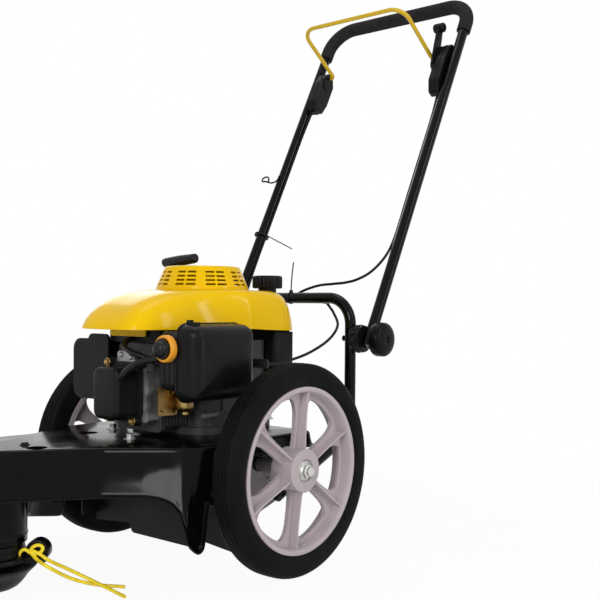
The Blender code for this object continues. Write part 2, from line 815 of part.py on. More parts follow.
def pulley_profile(radius, bore, low, high):
    """Section of a V-pulley between two heights, for a belt of the shared size."""
    middle = (low + high) / 2
    rim_r = radius + PULLEY_FLANGE
    root = radius - BELT_T - 0.001
    return [
        (low, bore), (low, rim_r), (middle - BELT_H / 2 - 0.0012, rim_r),
        (middle - BELT_H / 2 + 0.0005, root), (middle + BELT_H / 2 - 0.0005, root),
        (middle + BELT_H / 2 + 0.0012, rim_r), (high, rim_r), (high, bore),
    ]


def crankshaft():
    """Vertical crankshaft with the drive pulley on its lower end."""
    low = BELT_Z - PULLEY_H / 2
    high = BELT_Z + PULLEY_H / 2
    profile = pulley_profile(CRANK_PULLEY_R, CRANK_R, low, high)
    points = [(low - 0.004, 0.0), (low - 0.004, CRANK_R)] + profile + [
        (FLYWHEEL_Z, CRANK_R), (FLYWHEEL_Z, CRANK_R - 0.003),
        (FAN_TOP + 0.004, CRANK_R - 0.003), (FAN_TOP + 0.004, 0.0),
    ]
    pivot = (0, CRANK_Y, 0)
    return lathe("crankshaft", points, STEEL, (0, CRANK_Y, 0), "Z", 16, pivot)


def flywheel():
    """Flywheel with its cooling fan blades."""
    bore = CRANK_R - 0.003 + TOUCH
    top = FLYWHEEL_Z + FLYWHEEL_T
    profile = [
        (FLYWHEEL_Z + TOUCH, bore), (FLYWHEEL_Z + TOUCH, FLYWHEEL_R - 0.003),
        (FLYWHEEL_Z + 0.003, FLYWHEEL_R), (top, FLYWHEEL_R), (top, 0.024),
        (FAN_TOP, 0.020), (FAN_TOP, bore),
    ]
    pivot = (0, CRANK_Y, 0)
    wheel = lathe("flywheel", profile, CAST, pivot, "Z", 22, pivot)
    bm = bmesh.new()
    for k in range(FAN_BLADES):
        turn = Matrix.Rotation(2 * math.pi * k / FAN_BLADES, 4, "Z")
        outline = [(0.036, -0.001), (0.074, 0.011), (0.073, 0.0135), (0.035, 0.0012)]
        loops = [
            [turn @ point + Vector(pivot) for point in lift(outline, "XY", top - 0.001)],
            [turn @ point + Vector(pivot) for point in lift(outline, "XY", FAN_TOP)],
        ]
        bridge(bm, loops)
    blades = from_bmesh("fan_blades", bm, CAST)
    join(wheel, blades)
    return wheel


def belt_path(outer):
    """Open belt round both pulleys, seen from above, at the belt's outer or inner face."""
    grow = 0.0 if outer else -BELT_T
    start = Vector((0.0, CRANK_Y))
    end = Vector((HEAD_X, HEAD_Y))
    along = end - start
    heading = math.atan2(along.y, along.x)
    lean = math.asin((SPINDLE_PULLEY_R - CRANK_PULLEY_R) / along.length)
    steps = 9
    path = []
    for centre, radius, first, last in (
        (end, SPINDLE_PULLEY_R, -math.pi / 2 - lean, math.pi / 2 + lean),
        (start, CRANK_PULLEY_R, math.pi / 2 + lean, 3 * math.pi / 2 - lean),
    ):
        for k in range(steps + 1):
            angle = heading + first + (last - first) * k / steps
            path.append(centre + Vector((math.cos(angle), math.sin(angle))) * (radius + grow))
    return [(point.x, point.y) for point in path]


def drive_belt():
    """V-belt from the crankshaft's pulley to the spindle's."""
    low = BELT_Z - BELT_H / 2 + 0.001
    high = BELT_Z + BELT_H / 2 - 0.001
    bm = bmesh.new()
    corners = [
        lift(belt_path(True), "XY", low), lift(belt_path(True), "XY", high),
        lift(belt_path(False), "XY", high), lift(belt_path(False), "XY", low),
    ]
    rings = [[bm.verts.new(point) for point in loop] for loop in corners]
    count = len(rings[0])
    for a, b in zip(rings, rings[1:] + rings[:1]):
        for i in range(count):
            j = (i + 1) % count
            bm.faces.new((a[i], a[j], b[j], b[i]))
    return from_bmesh("drive_belt", bm, RUBBER)


def spindle_housing():
    """Bearing housing on a round plate that closes the tongue from below."""
    bore = SPINDLE_R + RUN
    plate_top = BEARING_PLATE_Z + BEARING_PLATE_T
    reach = TONGUE_R - SHEET - 0.0018
    profile = [
        (HOUSING_BOTTOM, bore), (HOUSING_BOTTOM, HOUSING_R - 0.004),
        (HOUSING_BOTTOM + 0.004, HOUSING_R), (BEARING_PLATE_Z - 0.008, HOUSING_R),
        (BEARING_PLATE_Z, HOUSING_R + 0.008), (BEARING_PLATE_Z, reach), (plate_top, reach),
        (plate_top, HOUSING_R - 0.014), (plate_top + 0.014, HOUSING_R - 0.016),
        (plate_top + 0.014, bore),
    ]
    return lathe("spindle_housing", profile, BLACK_PAINT, (HEAD_X, HEAD_Y, 0), "Z", 20)


def spindle():
    """Spindle with its driven pulley, running in the housing."""
    low = BELT_Z - PULLEY_H / 2
    high = BELT_Z + PULLEY_H / 2
    foot = HEAD_PLATE_BOTTOM + HEAD_PLATE_T
    points = [
        (HEAD_PLATE_BOTTOM - 0.002, 0.0), (HEAD_PLATE_BOTTOM - 0.002, SPINDLE_R - 0.003),
        (foot + TOUCH + 0.010, SPINDLE_R - 0.003), (foot + TOUCH + 0.010, SPINDLE_R),
    ]
    points += pulley_profile(SPINDLE_PULLEY_R, SPINDLE_R, low, high)
    points += [(high + 0.004, SPINDLE_R), (high + 0.004, 0.0)]
    centre = (HEAD_X, HEAD_Y, 0)
    return lathe("spindle", points, STEEL, centre, "Z", 16, centre)


def trimmer_head():
    """Head plate with four ears, whose posts hold the folded trimmer line."""
    centre = Vector((HEAD_X, HEAD_Y, 0))
    top = HEAD_PLATE_BOTTOM + HEAD_PLATE_T
    bore = SPINDLE_R - 0.003 + TOUCH
    profile = [
        (HEAD_PLATE_BOTTOM, bore), (HEAD_PLATE_BOTTOM, HEAD_PLATE_R - 0.004),
        (HEAD_PLATE_BOTTOM + 0.004, HEAD_PLATE_R), (top - 0.003, HEAD_PLATE_R),
        (top, HEAD_PLATE_R - 0.003), (top, 0.030), (top + 0.009, 0.024), (top + 0.009, bore),
    ]
    head = lathe("trimmer_head", profile, BLACK_PLASTIC, centre, "Z", 24, centre)
    for k in range(POSTS):
        angle = head_angle(k)
        spot = centre + Vector((math.cos(angle), math.sin(angle), 0)) * POST_RING_R
        across = Vector((-math.sin(angle), math.cos(angle), 0))
        inner = centre + (spot - centre) * 0.55
        ear = [
            inner + across * 0.020, spot + across * 0.011,
            spot + (spot - centre).normalized() * 0.011, spot - across * 0.011,
            inner - across * 0.020,
        ]
        low = [Vector((p.x, p.y, HEAD_PLATE_BOTTOM + 0.002)) for p in ear]
        high = [Vector((p.x, p.y, top - 0.0035)) for p in ear]
        join(head, loft(f"head_ear_{k}", [low, high], BLACK_PLASTIC))
        post = [
            (HEAD_PLATE_BOTTOM + 0.003, 0.0), (HEAD_PLATE_BOTTOM + 0.003, POST_R),
            (POST_TOP - 0.004, POST_R - 0.001), (POST_TOP - 0.003, POST_R + 0.001),
            (POST_TOP, POST_R), (POST_TOP, 0.0),
        ]
        join(head, lathe(f"head_post_{k}", post, BLACK_PLASTIC, (spot.x, spot.y, 0), "Z", 10))
    return head


def head_angle(index):
    """Direction of a post from the spindle: the first pair sits either side of +X +Y."""
    return math.radians(38.0 + 90.0 * index)


def line_end(index):
    """One free end of trimmer line, from between the posts down to the ground.

    Ends 0 and 1 trail from the near side, ends 2 and 3 from the opposite side.
    """
    routes = (
        ((0.0690, 0.0470, 0.0660), (0.0881, 0.0475, 0.0500), (0.0949, 0.0800, 0.0300),
         (0.1276, 0.1036, 0.0120), (0.1992, 0.1051, 0.0032)),
        ((0.0672, 0.0410, 0.0630), (0.0986, 0.0365, 0.0450), (0.1024, 0.0746, 0.0200),
         (0.1223, 0.1078, 0.0060), (0.1606, 0.1368, 0.0032)),
        ((-0.0690, -0.0470, 0.0660), (-0.080, -0.050, 0.0580), (-0.105, -0.040, 0.0400),
         (-0.122, -0.010, 0.0240), (-0.132, 0.024, 0.0110), (-0.136, 0.060, 0.0040)),
        ((-0.0672, -0.0410, 0.0630), (-0.080, -0.030, 0.0560), (-0.098, 0.000, 0.0360),
         (-0.106, 0.036, 0.0180), (-0.104, 0.070, 0.0070), (-0.096, 0.102, 0.0032)),
    )
    centre = Vector((HEAD_X, HEAD_Y, 0))
    route = [centre + Vector(point) for point in routes[index]]
    name = ("line_end_near_a", "line_end_near_b", "line_end_far_a", "line_end_far_b")[index]
    return tube(name, smooth_path(route, 3), LINE_R, LINE, 0, centre)


def mow_ball():
    """Bowl-shaped foot under the head, on which the front of the machine slides."""
    inner = BALL_R - BALL_WALL
    floor = BALL_WALL
    profile = [
        (0.0, 0.0), (0.0, BALL_FOOT_R), (0.006, BALL_FOOT_R + 0.016),
        (0.018, BALL_R - 0.014), (0.030, BALL_R - 0.004), (BALL_TOP - 0.002, BALL_R),
        (BALL_TOP, BALL_R - 0.002), (BALL_TOP - 0.002, inner), (0.031, inner - 0.006),
        (0.021, inner - 0.017), (floor + 0.004, BALL_FOOT_R + 0.010), (floor, 0.016),
        (HEAD_PLATE_BOTTOM - 0.0026, 0.013), (HEAD_PLATE_BOTTOM - 0.0026, 0.0),
    ]
    centre = (HEAD_X, HEAD_Y, 0)
    return lathe("mow_ball", profile, BLACK_PLASTIC, centre, "Z", 24, centre)


def idler_arm():
    """Flat arm under the deck that presses the idler against the belt."""
    low = BELT_Z + BELT_H / 2 + 0.004
    high = low + ARM_T
    start = Vector((IDLER_ARM_X, IDLER_ARM_Y))
    end = Vector((IDLER_ROLL_X, IDLER_ROLL_Y))
    along = (end - start).normalized()
    across = Vector((-along.y, along.x))
    outline = []
    for centre, radius, facing in ((start, 0.013, math.pi), (end, 0.009, 0.0)):
        base = math.atan2(along.y, along.x) + facing
        for k in range(7):
            angle = base - math.pi / 2 + math.pi * k / 6
            outline.append(centre + Vector((math.cos(angle), math.sin(angle))) * radius)
    outline = [(point.x, point.y) for point in outline]
    pivot = (IDLER_ARM_X, IDLER_ARM_Y, 0)
    arm = slab("idler_arm", outline, "XY", low, high, GOLD_ZINC, 0.0, pivot)
    post_top = DECK_TOP - SHEET - TOUCH
    post = [(low + 0.001, 0.0), (low + 0.001, 0.007), (post_top, 0.007), (post_top, 0.0)]
    join(arm, lathe("arm_post", post, GOLD_ZINC, pivot, "Z", 12))
    axle_low = BELT_Z - BELT_H / 2 - 0.003
    pin = [
        (axle_low - 0.003, 0.0), (axle_low - 0.003, 0.007), (axle_low - TOUCH, 0.007),
        (axle_low - TOUCH, 0.004), (low + 0.001, 0.004), (low + 0.001, 0.0),
    ]
    join(arm, lathe("arm_pin", pin, GOLD_ZINC, (IDLER_ROLL_X, IDLER_ROLL_Y, 0), "Z", 12))
    return arm


def idler_roller():
    """Grooved roller on the idler arm's pin."""
    low = BELT_Z - BELT_H / 2 - 0.003
    high = BELT_Z + BELT_H / 2 + 0.003
    bore = 0.004 + RUN
    profile = [
        (low, bore), (low, IDLER_R), (low + 0.002, IDLER_R), (low + 0.003, IDLER_R - 0.004),
        (high - 0.003, IDLER_R - 0.004), (high - 0.002, IDLER_R), (high, IDLER_R), (high, bore),
    ]
    centre = (IDLER_ROLL_X, IDLER_ROLL_Y, 0)
    return lathe("idler_roller", profile, BLACK_PLASTIC, centre, "Z", 20, centre)


def coil_path(start, end, radius, turns, per_turn=8):
    """A helix from start to end, with a short straight tail at each end."""
    start, end = Vector(start), Vector(end)
    along = end - start
    axis = along.normalized()
    across = axis.orthogonal().normalized()
    up = axis.cross(across)
    path = [start - axis * radius * 0.8]
    count = turns * per_turn
    for k in range(count + 1):
        angle = 2 * math.pi * k / per_turn
        spot = start + along * (k / count)
        path.append(spot + across * (radius * math.cos(angle)) + up * (radius * math.sin(angle)))
    path.append(end + axis * radius * 0.8)
    return path


def idler_spring():
    """Tension spring between the bail cable and the idler arm."""
    z = BELT_Z + BELT_H / 2 + 0.004 - SPRING_R - TOUCH
    start = (IDLER_ARM_X + 0.010, IDLER_ARM_Y + 0.002, z)
    end = (BAIL_CABLE_X + 0.001, 0.0256, 0.2085)
    path = coil_path(start, end, SPRING_R - SPRING_WIRE_R, 7, 8)
    return tube("idler_spring", path, SPRING_WIRE_R, STEEL, 0, (IDLER_ARM_X, IDLER_ARM_Y, 0))


# Engine


def engine_block():
    """Crankcase on its mounting flange, with the finned barrel in front of it."""
    case = rounded(
        rectangle(-BLOCK_HALF_X, BLOCK_HALF_X, BLOCK_FRONT, BLOCK_REAR), 0.022, 4,
    )
    flange = grown(case, 0.012)
    loops = [
        lift(flange, "XY", BLOCK_BASE), lift(flange, "XY", BLOCK_BASE + 0.012),
        lift(case, "XY", BLOCK_BASE + 0.014), lift(case, "XY", BLOCK_TOP - 0.020),
        lift(grown(case, -0.010), "XY", BLOCK_TOP),
    ]
    block = loft("engine_block", loops, CAST)
    fins = []
    length = BLOCK_FRONT - BARREL_FRONT
    pitch = length / FINS
    full = rounded(rectangle(-BARREL_HALF_X, BARREL_HALF_X, BARREL_LOW, BARREL_HIGH), 0.012, 2)
    core = grown(full, -FIN_DEPTH)
    y = BLOCK_FRONT + 0.004
    fins.append(lift(core, "XZ", y))
    for k in range(FINS):
        back = BLOCK_FRONT - k * pitch - pitch * 0.55
        front = back - pitch * 0.45
        fins += [lift(core, "XZ", back), lift(full, "XZ", back - 0.0004),
                 lift(full, "XZ", front + 0.0004), lift(core, "XZ", front)]
    barrel = loft("barrel", fins, CAST)
    join(block, barrel)
    drill(block, "crank_bore", (0, CRANK_Y, 0), CRANK_R + RUN, 0.2, BLOCK_TOP + 0.05, "Z", 24)
    return block


def cylinder_head():
    """Cast head bolted on the barrel, with a spark-plug boss."""
    rear = BARREL_FRONT - TOUCH
    front = rear - HEAD_T
    outline = rounded(
        rectangle(-BARREL_HALF_X, BARREL_HALF_X, BARREL_LOW - 0.004, BARREL_HIGH), 0.010, 3,
    )
    head = slab("cylinder_head", outline, "XZ", front, rear, CAST, 0.003)
    boss = [(-0.002, 0.0), (-0.002, 0.0098), (0.012, 0.0090), (0.012, 0.0)]
    join(head, lathe("plug_boss", boss, CAST, (BARREL_HALF_X, (front + rear) / 2, 0.345), "X", 14))
    return head


def rocker_cover():
    """Moulded valve cover with its bolting flange and corner bosses."""
    rear = BARREL_FRONT - 2 * TOUCH - HEAD_T
    shape = rounded(
        rectangle(-ROCKER_HALF_X, ROCKER_HALF_X, ROCKER_LOW, ROCKER_HIGH), 0.015, 3,
    )
    flange = grown(shape, ROCKER_FLANGE)
    loops = [
        lift(flange, "XZ", rear), lift(flange, "XZ", rear - 0.005),
        lift(shape, "XZ", rear - 0.006), lift(shape, "XZ", ROCKER_FRONT + 0.006),
        lift(grown(shape, -0.002), "XZ", ROCKER_FRONT + 0.002),
        lift(grown(shape, -0.006), "XZ", ROCKER_FRONT),
    ]
    cover = loft("rocker_cover", loops, BLACK_PLASTIC)
    for k, (x, z) in enumerate((
        (-ROCKER_HALF_X - 0.010, ROCKER_LOW + 0.002), (ROCKER_HALF_X + 0.010, ROCKER_LOW + 0.002),
        (-ROCKER_HALF_X - 0.010, ROCKER_HIGH - 0.002), (ROCKER_HALF_X + 0.010, ROCKER_HIGH - 0.002),
    )):
        boss = [
            (-0.001, 0.0), (-0.001, 0.0085), (-0.0121, 0.0074), (-0.0121, 0.0049),
            (-0.0165, 0.0049), (-0.0165, 0.0),
        ]
        join(cover, lathe(f"cover_boss_{k}", boss, BLACK_PLASTIC, (x, rear, z), "Y", 10))
    return cover


def muffler():
    """Exhaust box on the right of the head, with a stub pipe to the exhaust port."""
    outline = rounded(
        rectangle(MUFFLER_OUT_X, MUFFLER_IN_X, MUFFLER_FRONT, MUFFLER_REAR), 0.018, 4,
    )
    box = slab("muffler", outline, "XY", MUFFLER_LOW, MUFFLER_HIGH, BLACK_PAINT, 0.010)
    stub_y = BARREL_FRONT - TOUCH - HEAD_T / 2
    gap = MUFFLER_IN_X + BARREL_HALF_X + TOUCH
    stub = [(-0.004, 0.0), (-0.004, 0.011), (-gap, 0.011), (-gap, 0.0)]
    join(box, lathe("muffler_stub", stub, BLACK_PAINT, (MUFFLER_IN_X, stub_y, 0.330), "X", 14))
    return box


def air_filter_base():
    """Filter back plate and inlet elbow, carried on the carburettor."""
    outline = rounded(
        rectangle(FILTER_FRONT - 0.002, FILTER_REAR - 0.004, FILTER_LOW + 0.018, FILTER_HIGH - 0.012),
        0.014, 3,
    )
    return slab(
        "air_filter_base", outline, "YZ", FILTER_BASE_X, FILTER_SEAM_X - TOUCH, BLACK_PLASTIC, 0.003,
    )


def air_filter_cover():
    """Crowned filter cover, the large black box beside the engine."""
    outline = rounded(rectangle(FILTER_FRONT, FILTER_REAR, FILTER_LOW, FILTER_HIGH), 0.021, 4)
    depth = FILTER_OUT_X - FILTER_SEAM_X
    loops = [lift(outline, "YZ", FILTER_SEAM_X)]
    for along, inset in ((0.30, 0.0008), (0.62, 0.003), (0.82, 0.0075), (0.94, 0.013), (1.0, 0.0190)):
        loops.append(lift(grown(outline, -inset), "YZ", FILTER_SEAM_X + depth * along))
    bm = bmesh.new()
    rings = bridge(bm, loops, closed_ends=False)
    bm.faces.new(rings[-1])
    cover = from_bmesh("air_filter_cover", bm, BLACK_PLASTIC)
    middle = Vector((0, (FILTER_FRONT + FILTER_REAR) / 2, (FILTER_LOW + FILTER_HIGH) / 2))
    outward = sum(
        (face.center - middle).dot(face.normal) for face in cover.data.polygons
    )
    if outward < 0:
        cover.data.flip_normals()
    return thicken(cover, 0.0025)


def primer():
    """Rubber primer bulb, and the ring that frames it on the filter base."""
    base = FILTER_FRONT - 0.002 - TOUCH
    face = base - PRIMER_TRAVEL - 0.0035
    ring = [
        (face, PRIMER_R + RUN), (face, PRIMER_RING_R - 0.002),
        (face + 0.002, PRIMER_RING_R), (base, PRIMER_RING_R), (base, PRIMER_R + RUN),
    ]
    lathe("primer_ring", ring, ORANGE, (PRIMER_X, 0, PRIMER_Z), "Y", 24)
    back = base - PRIMER_TRAVEL - 0.0006
    shoulder = face - 0.002
    bulb = [(back, 0.0), (back, PRIMER_R), (shoulder, PRIMER_R)]
    for k in range(1, 5):
        angle = math.radians(90 * k / 5)
        bulb.append((shoulder - 0.011 * math.sin(angle), PRIMER_R * math.cos(angle)))
    bulb.append((shoulder - 0.011, 0.0))
    centre = (PRIMER_X, 0, PRIMER_Z)
    lathe("primer_bulb", bulb, RUBBER, centre, "Y", 18, (PRIMER_X, back, PRIMER_Z))


def carburettor():
    """Carburettor body between the barrel's inlet port and the filter base."""
    low_x = BARREL_HALF_X + TOUCH
    high_x = FILTER_BASE_X - TOUCH
    outline = rounded(rectangle(-0.118, -0.088, 0.340, 0.376), 0.006, 2)
    body = slab("carburettor", outline, "YZ", low_x, high_x, CAST)
    bowl = [(0.322, 0.0), (0.322, 0.012), (0.326, 0.0145), (0.342, 0.0145), (0.342, 0.0)]
    centre = ((low_x + high_x) / 2, -0.103, 0)
    join(body, lathe("float_bowl", bowl, CAST, centre, "Z", 16))
    return body


def spark_plug_lead():
    """Spark plug under its boot, and the lead that runs round to the ignition coil."""
    plug_y = BARREL_FRONT - TOUCH - HEAD_T / 2
    start = BARREL_HALF_X + 0.012 + TOUCH
    boot = [
        (start, 0.0), (start, 0.006), (start + 0.006, 0.008), (start + 0.020, 0.008),
        (start + 0.024, 0.006), (start + 0.024, 0.0),
    ]
    obj = lathe("spark_plug_lead", boot, RUBBER, (0, plug_y, 0.345), "X", 12)
    route = [
        (start + 0.016, plug_y, 0.345), (start + 0.012, plug_y - 0.018, 0.352),
        (0.052, -0.180, 0.366), (0.026, -0.184, 0.374), (0.002, -0.176, 0.382),
        (-0.006, -0.160, 0.391), (-0.006, -0.145, 0.3945), (-0.006, -0.120, 0.3965),
        (-0.004, -0.092, 0.3985),
    ]
    lead = bar("lead_wire", smooth_path(route, 3), 0.0036, 6, RUBBER)
    join(obj, lead)
    return obj


def control_plate():
    """Plated bracket on the crankcase that anchors the throttle cable."""
    low_x = BLOCK_HALF_X + TOUCH
    outline = [
        (-0.030, 0.268), (0.050, 0.268), (0.050, 0.350), (0.034, 0.372), (-0.010, 0.372),
        (-0.030, 0.330),
    ]
    plate = slab("control_plate", outline, "YZ", low_x, low_x + 0.0025, GOLD_ZINC)
    tab = rounded(rectangle(low_x + 0.002, low_x + 0.040, 0.339, 0.355), 0.003, 1)
    join(plate, slab("cable_clamp", tab, "XZ", 0.0445, 0.0475, GOLD_ZINC))
    pin = [(low_x + 0.001, 0.0), (low_x + 0.001, 0.003), (low_x + 0.014, 0.003), (low_x + 0.014, 0.0)]
    join(plate, lathe("lever_pin", pin, GOLD_ZINC, (0, 0.006, 0.322), "X", 10))
    return plate


def control_lever():
    """Governor lever that the throttle cable swings on the control plate."""
    start = BLOCK_HALF_X + TOUCH + 0.0025 + TOUCH
    outline = rounded(
        [(-0.002, 0.312), (0.014, 0.312), (0.012, 0.350), (0.006, 0.362), (0.0, 0.350)],
        0.0035, 2,
    )
    pivot = (start, 0.006, 0.322)
    lever = slab("control_lever", outline, "YZ", start, start + 0.003, STEEL, 0.0, pivot)
    drill(lever, "lever_bore", pivot, 0.003 + RUN, -0.02, 0.02, "X", 12)
    return lever


def governor_spring():
    """Small tension spring on the front of the control plate."""
    x = BLOCK_HALF_X + TOUCH + SPRING_R
    coil_r = SPRING_R - SPRING_WIRE_R
    path = coil_path((x, -0.082, 0.262), (x, -0.046, 0.262), coil_r, 4, 8)
    return tube("governor_spring", path, SPRING_WIRE_R, STEEL, 0)


def fuel_tank():
    """Moulded tank behind the crankcase, with its filler neck up through the cowl."""
    outline = rounded(
        rectangle(TANK_RIGHT_X, TANK_LEFT_X, TANK_FRONT, TANK_REAR), 0.010, 3,
    )
    tank = slab("fuel_tank", outline, "XY", TANK_LOW, TANK_HIGH, BLACK_PLASTIC, 0.004)
    neck = [
        (TANK_HIGH - 0.004, 0.0), (TANK_HIGH - 0.004, NECK_R), (CAP_HIGH - 0.007, NECK_R),
        (CAP_HIGH - 0.007, NECK_R - 0.003), (TANK_HIGH - 0.030, NECK_R - 0.003),
        (TANK_HIGH - 0.030, 0.0),
    ]
    outer = neck[:3] + [(CAP_HIGH - 0.007, 0.0)]
    join(tank, lathe("filler_neck", outer, BLACK_PLASTIC, (CAP_X, CAP_Y, 0), "Z", 20))
    drill(tank, "filler_bore", (CAP_X, CAP_Y, 0), NECK_R - 0.003, TANK_HIGH - 0.030,
          CAP_HIGH + 0.01, "Z", 16)
    return tank


def fuel_cap():
    """Ribbed cap over the filler neck."""
    bore = NECK_R + TOUCH
    ribs = 16
    roof = CAP_HIGH - 0.007 + TOUCH

    def ribbed(radius, depth):
        loop = []
        for i in range(2 * ribs):
            r = radius - (depth if i % 2 else 0.0)
            angle = math.pi * i / ribs
            loop.append((CAP_X + r * math.cos(angle), CAP_Y + r * math.sin(angle)))
        return loop

    pivot = (CAP_X, CAP_Y, CAP_LOW)
    loops = [
        lift(ribbed(CAP_R - 0.0015, 0.0016), "XY", CAP_LOW), lift(ribbed(CAP_R, 0.0016), "XY", CAP_LOW + 0.002),
        lift(ribbed(CAP_R, 0.0016), "XY", CAP_HIGH - 0.004), lift(ribbed(CAP_R - 0.003, 0.0), "XY", CAP_HIGH),
    ]
    cap = loft("fuel_cap", loops, BLACK_PLASTIC, pivot)
    drill(cap, "cap_bore", (CAP_X, CAP_Y, 0), bore, CAP_LOW - 0.01, roof, "Z", 20)
    return cap


def oil_cap():
    """Dipstick cap in the crankcase's filler boss, on the right of the engine."""
    x = -BLOCK_HALF_X - TOUCH
    profile = [
        (x, 0.0), (x, 0.011), (x - 0.010, 0.011), (x - 0.011, 0.004), (x - 0.018, 0.003),
        (x - 0.018, 0.0),
    ]
    centre = (0, OIL_CAP_Y, OIL_CAP_Z)
    return lathe("oil_cap", profile, BLACK_PLASTIC, centre, "X", 16, (x, *centre[1:]))


def cowl_reach(angle):
    """Distance from the crankshaft to the cowl's lower edge in one direction."""
    dx, dy = math.cos(angle), math.sin(angle)
    power = 5.0
    half_y = (COWL_REAR - CRANK_Y) if dy > 0 else (CRANK_Y - COWL_FRONT)
    taper = 1.0 if dy > 0 else 1.0 - 0.16 * min(1.0, abs(dy) * 1.1)
    half_x = COWL_HALF_X * taper
    return 1.0 / ((abs(dx) / half_x) ** power + (abs(dy) / half_y) ** power) ** (1 / power)


def cowl():
    """Blower cowl: a crowned shell that falls gently to the front and squarely at the back."""
    sides = 36
    loops = []
    start_r = COWL_MOUTH_R
    stations = (0.0, 0.40, 0.66, 0.82, 0.92, 0.98, 1.0)
    for index, t in enumerate(stations):
        loop = []
        for k in range(sides):
            angle = 2 * math.pi * k / sides
            reach = cowl_reach(angle)
            front = max(0.0, -math.sin(angle))
            power = 5.5 - 3.6 * front ** 1.5
            flat = max(0.0, (RECOIL_BASE_R + 0.002 - start_r) / (reach - start_r))
            rise = max(0.0, (t - flat) / (1.0 - flat))
            top = COWL_TOP_Z - (COWL_TOP_Z - COWL_EDGE_Z - 0.018) * rise ** power
            if index == len(stations) - 1:
                top = COWL_EDGE_Z - 0.007 * max(0.0, math.sin(angle))
            radius = start_r + (reach - start_r) * t
            loop.append(Vector((radius * math.cos(angle), CRANK_Y + radius * math.sin(angle), top)))
        loops.append(loop)
    bm = bmesh.new()
    bridge(bm, loops, closed_ends=False)
    shell = from_bmesh("cowl", bm, YELLOW)
    if sum(face.normal.z * face.area for face in shell.data.polygons) < 0:
        shell.data.flip_normals()
    thicken(shell, COWL_WALL)
    drill(shell, "cap_hole", (CAP_X, CAP_Y, 0), NECK_R + 0.0015, 0.42, 0.52, "Z", 20)
    return shell


def recoil_cover():
    """Starter cover: a short cone with rows of paired cooling slots, and a lid."""
    columns = 4 * SLOT_PAIRS
    rows = 2 * SLOT_ROWS + 1
    base_z = COWL_TOP_Z + TOUCH
    lid_z = RECOIL_TOP_Z
    slant_top = lid_z - 0.006
    slant_low = base_z + 0.004
    bm = bmesh.new()

    def ring(radius, height):
        turn = 2 * math.pi / columns
        return [
            bm.verts.new((radius * math.cos(turn * i), CRANK_Y + radius * math.sin(turn * i), height))
            for i in range(columns)
        ]

    rings = [ring(RECOIL_BASE_R, base_z)]
    for row in range(rows + 1):
        share = row / rows
        radius = RECOIL_BASE_R - (RECOIL_BASE_R - RECOIL_TOP_R) * share
        rings.append(ring(radius, slant_low + (slant_top - slant_low) * share))
    rings.append(ring(RECOIL_TOP_R - 0.003, lid_z - 0.001))
    rings.append(ring(RECOIL_TOP_R - 0.012, lid_z))
    for level, (low, high) in enumerate(zip(rings, rings[1:])):
        row = level - 1
        for i in range(columns):
            slotted = 0 <= row < rows and row % 2 == 1 and i % 4 in (0, 2)
            if not slotted:
                j = (i + 1) % columns
                bm.faces.new((low[i], low[j], high[j], high[i]))
    bm.faces.new(rings[-1])
    cover = from_bmesh("recoil_cover", bm, YELLOW)
    if sum(face.normal.z * face.area for face in cover.data.polygons) < 0:
        cover.data.flip_normals()
    return thicken(cover, RECOIL_WALL)


def starter_grip():
    """T-shaped starter grip lying on the starter cover."""
    half = GRIP_BAR_L / 2
    loops = []
    for along, wide, tall in (
        (-1.0, 0.0055, 0.0055), (-0.97, 0.0080, 0.0080), (-0.55, 0.0090, 0.0092), (0.0, 0.0092, 0.0100),
        (0.55, 0.0090, 0.0092), (0.97, 0.0080, 0.0080), (1.0, 0.0055, 0.0055),
    ):
        oval = circle(0.0, 0.0, 1.0, 12)
        loops.append([
            Vector((STARTER_X + along * half, STARTER_Y + u * wide, GRIP_BAR_Z + v * tall))
            for u, v in oval
        ])
    pivot = (STARTER_X, STARTER_Y, GRIP_BAR_Z)
    grip = loft("starter_grip", loops, BLACK_PLASTIC, pivot)
    foot = RECOIL_TOP_Z + TOUCH
    stem = [(foot, 0.0), (foot, 0.007), (GRIP_BAR_Z, 0.008), (GRIP_BAR_Z, 0.0)]
    join(grip, lathe("grip_stem", stem, BLACK_PLASTIC, (STARTER_X, STARTER_Y, 0), "Z", 12))
    return grip


# Handle


def leg_direction():
    """Unit vector up the handle's legs, in the Y-Z plane."""
    return Vector((0, HANDLE_TOP_Y - PIVOT_Y, HANDLE_TOP_Z - PIVOT_Z)).normalized()


def leg_point(side, height):
    """The middle of a handle leg at a given height."""
    share = (height - PIVOT_Z) / (HANDLE_TOP_Z - PIVOT_Z)
    return Vector((side * HANDLE_X, PIVOT_Y + (HANDLE_TOP_Y - PIVOT_Y) * share, height))


PIVOT = (0, PIVOT_Y, PIVOT_Z)


def handle_tube():
    """One tube bent into the whole handle, drilled at its feet for the clamp studs."""
    along = leg_direction()
    foot = Vector((0, PIVOT_Y, PIVOT_Z)) - along * HANDLE_TAIL
    corners = [
        (HANDLE_X, foot.y, foot.z), (HANDLE_X, HANDLE_TOP_Y, HANDLE_TOP_Z),
        (-HANDLE_X, HANDLE_TOP_Y, HANDLE_TOP_Z), (-HANDLE_X, foot.y, foot.z),
    ]
    handle = bar("handle_tube", bend(corners, HANDLE_BEND_R, 5), TUBE_R, 12, BLACK_PAINT, PIVOT)
    for side in (1, -1):
        low, high = sorted((side * (HANDLE_X - 0.02), side * (HANDLE_X + 0.02)))
        drill(handle, f"handle_hole_{side_name(side)}", PIVOT, STUD_R + RUN, low, high, "X", 12)
    return handle


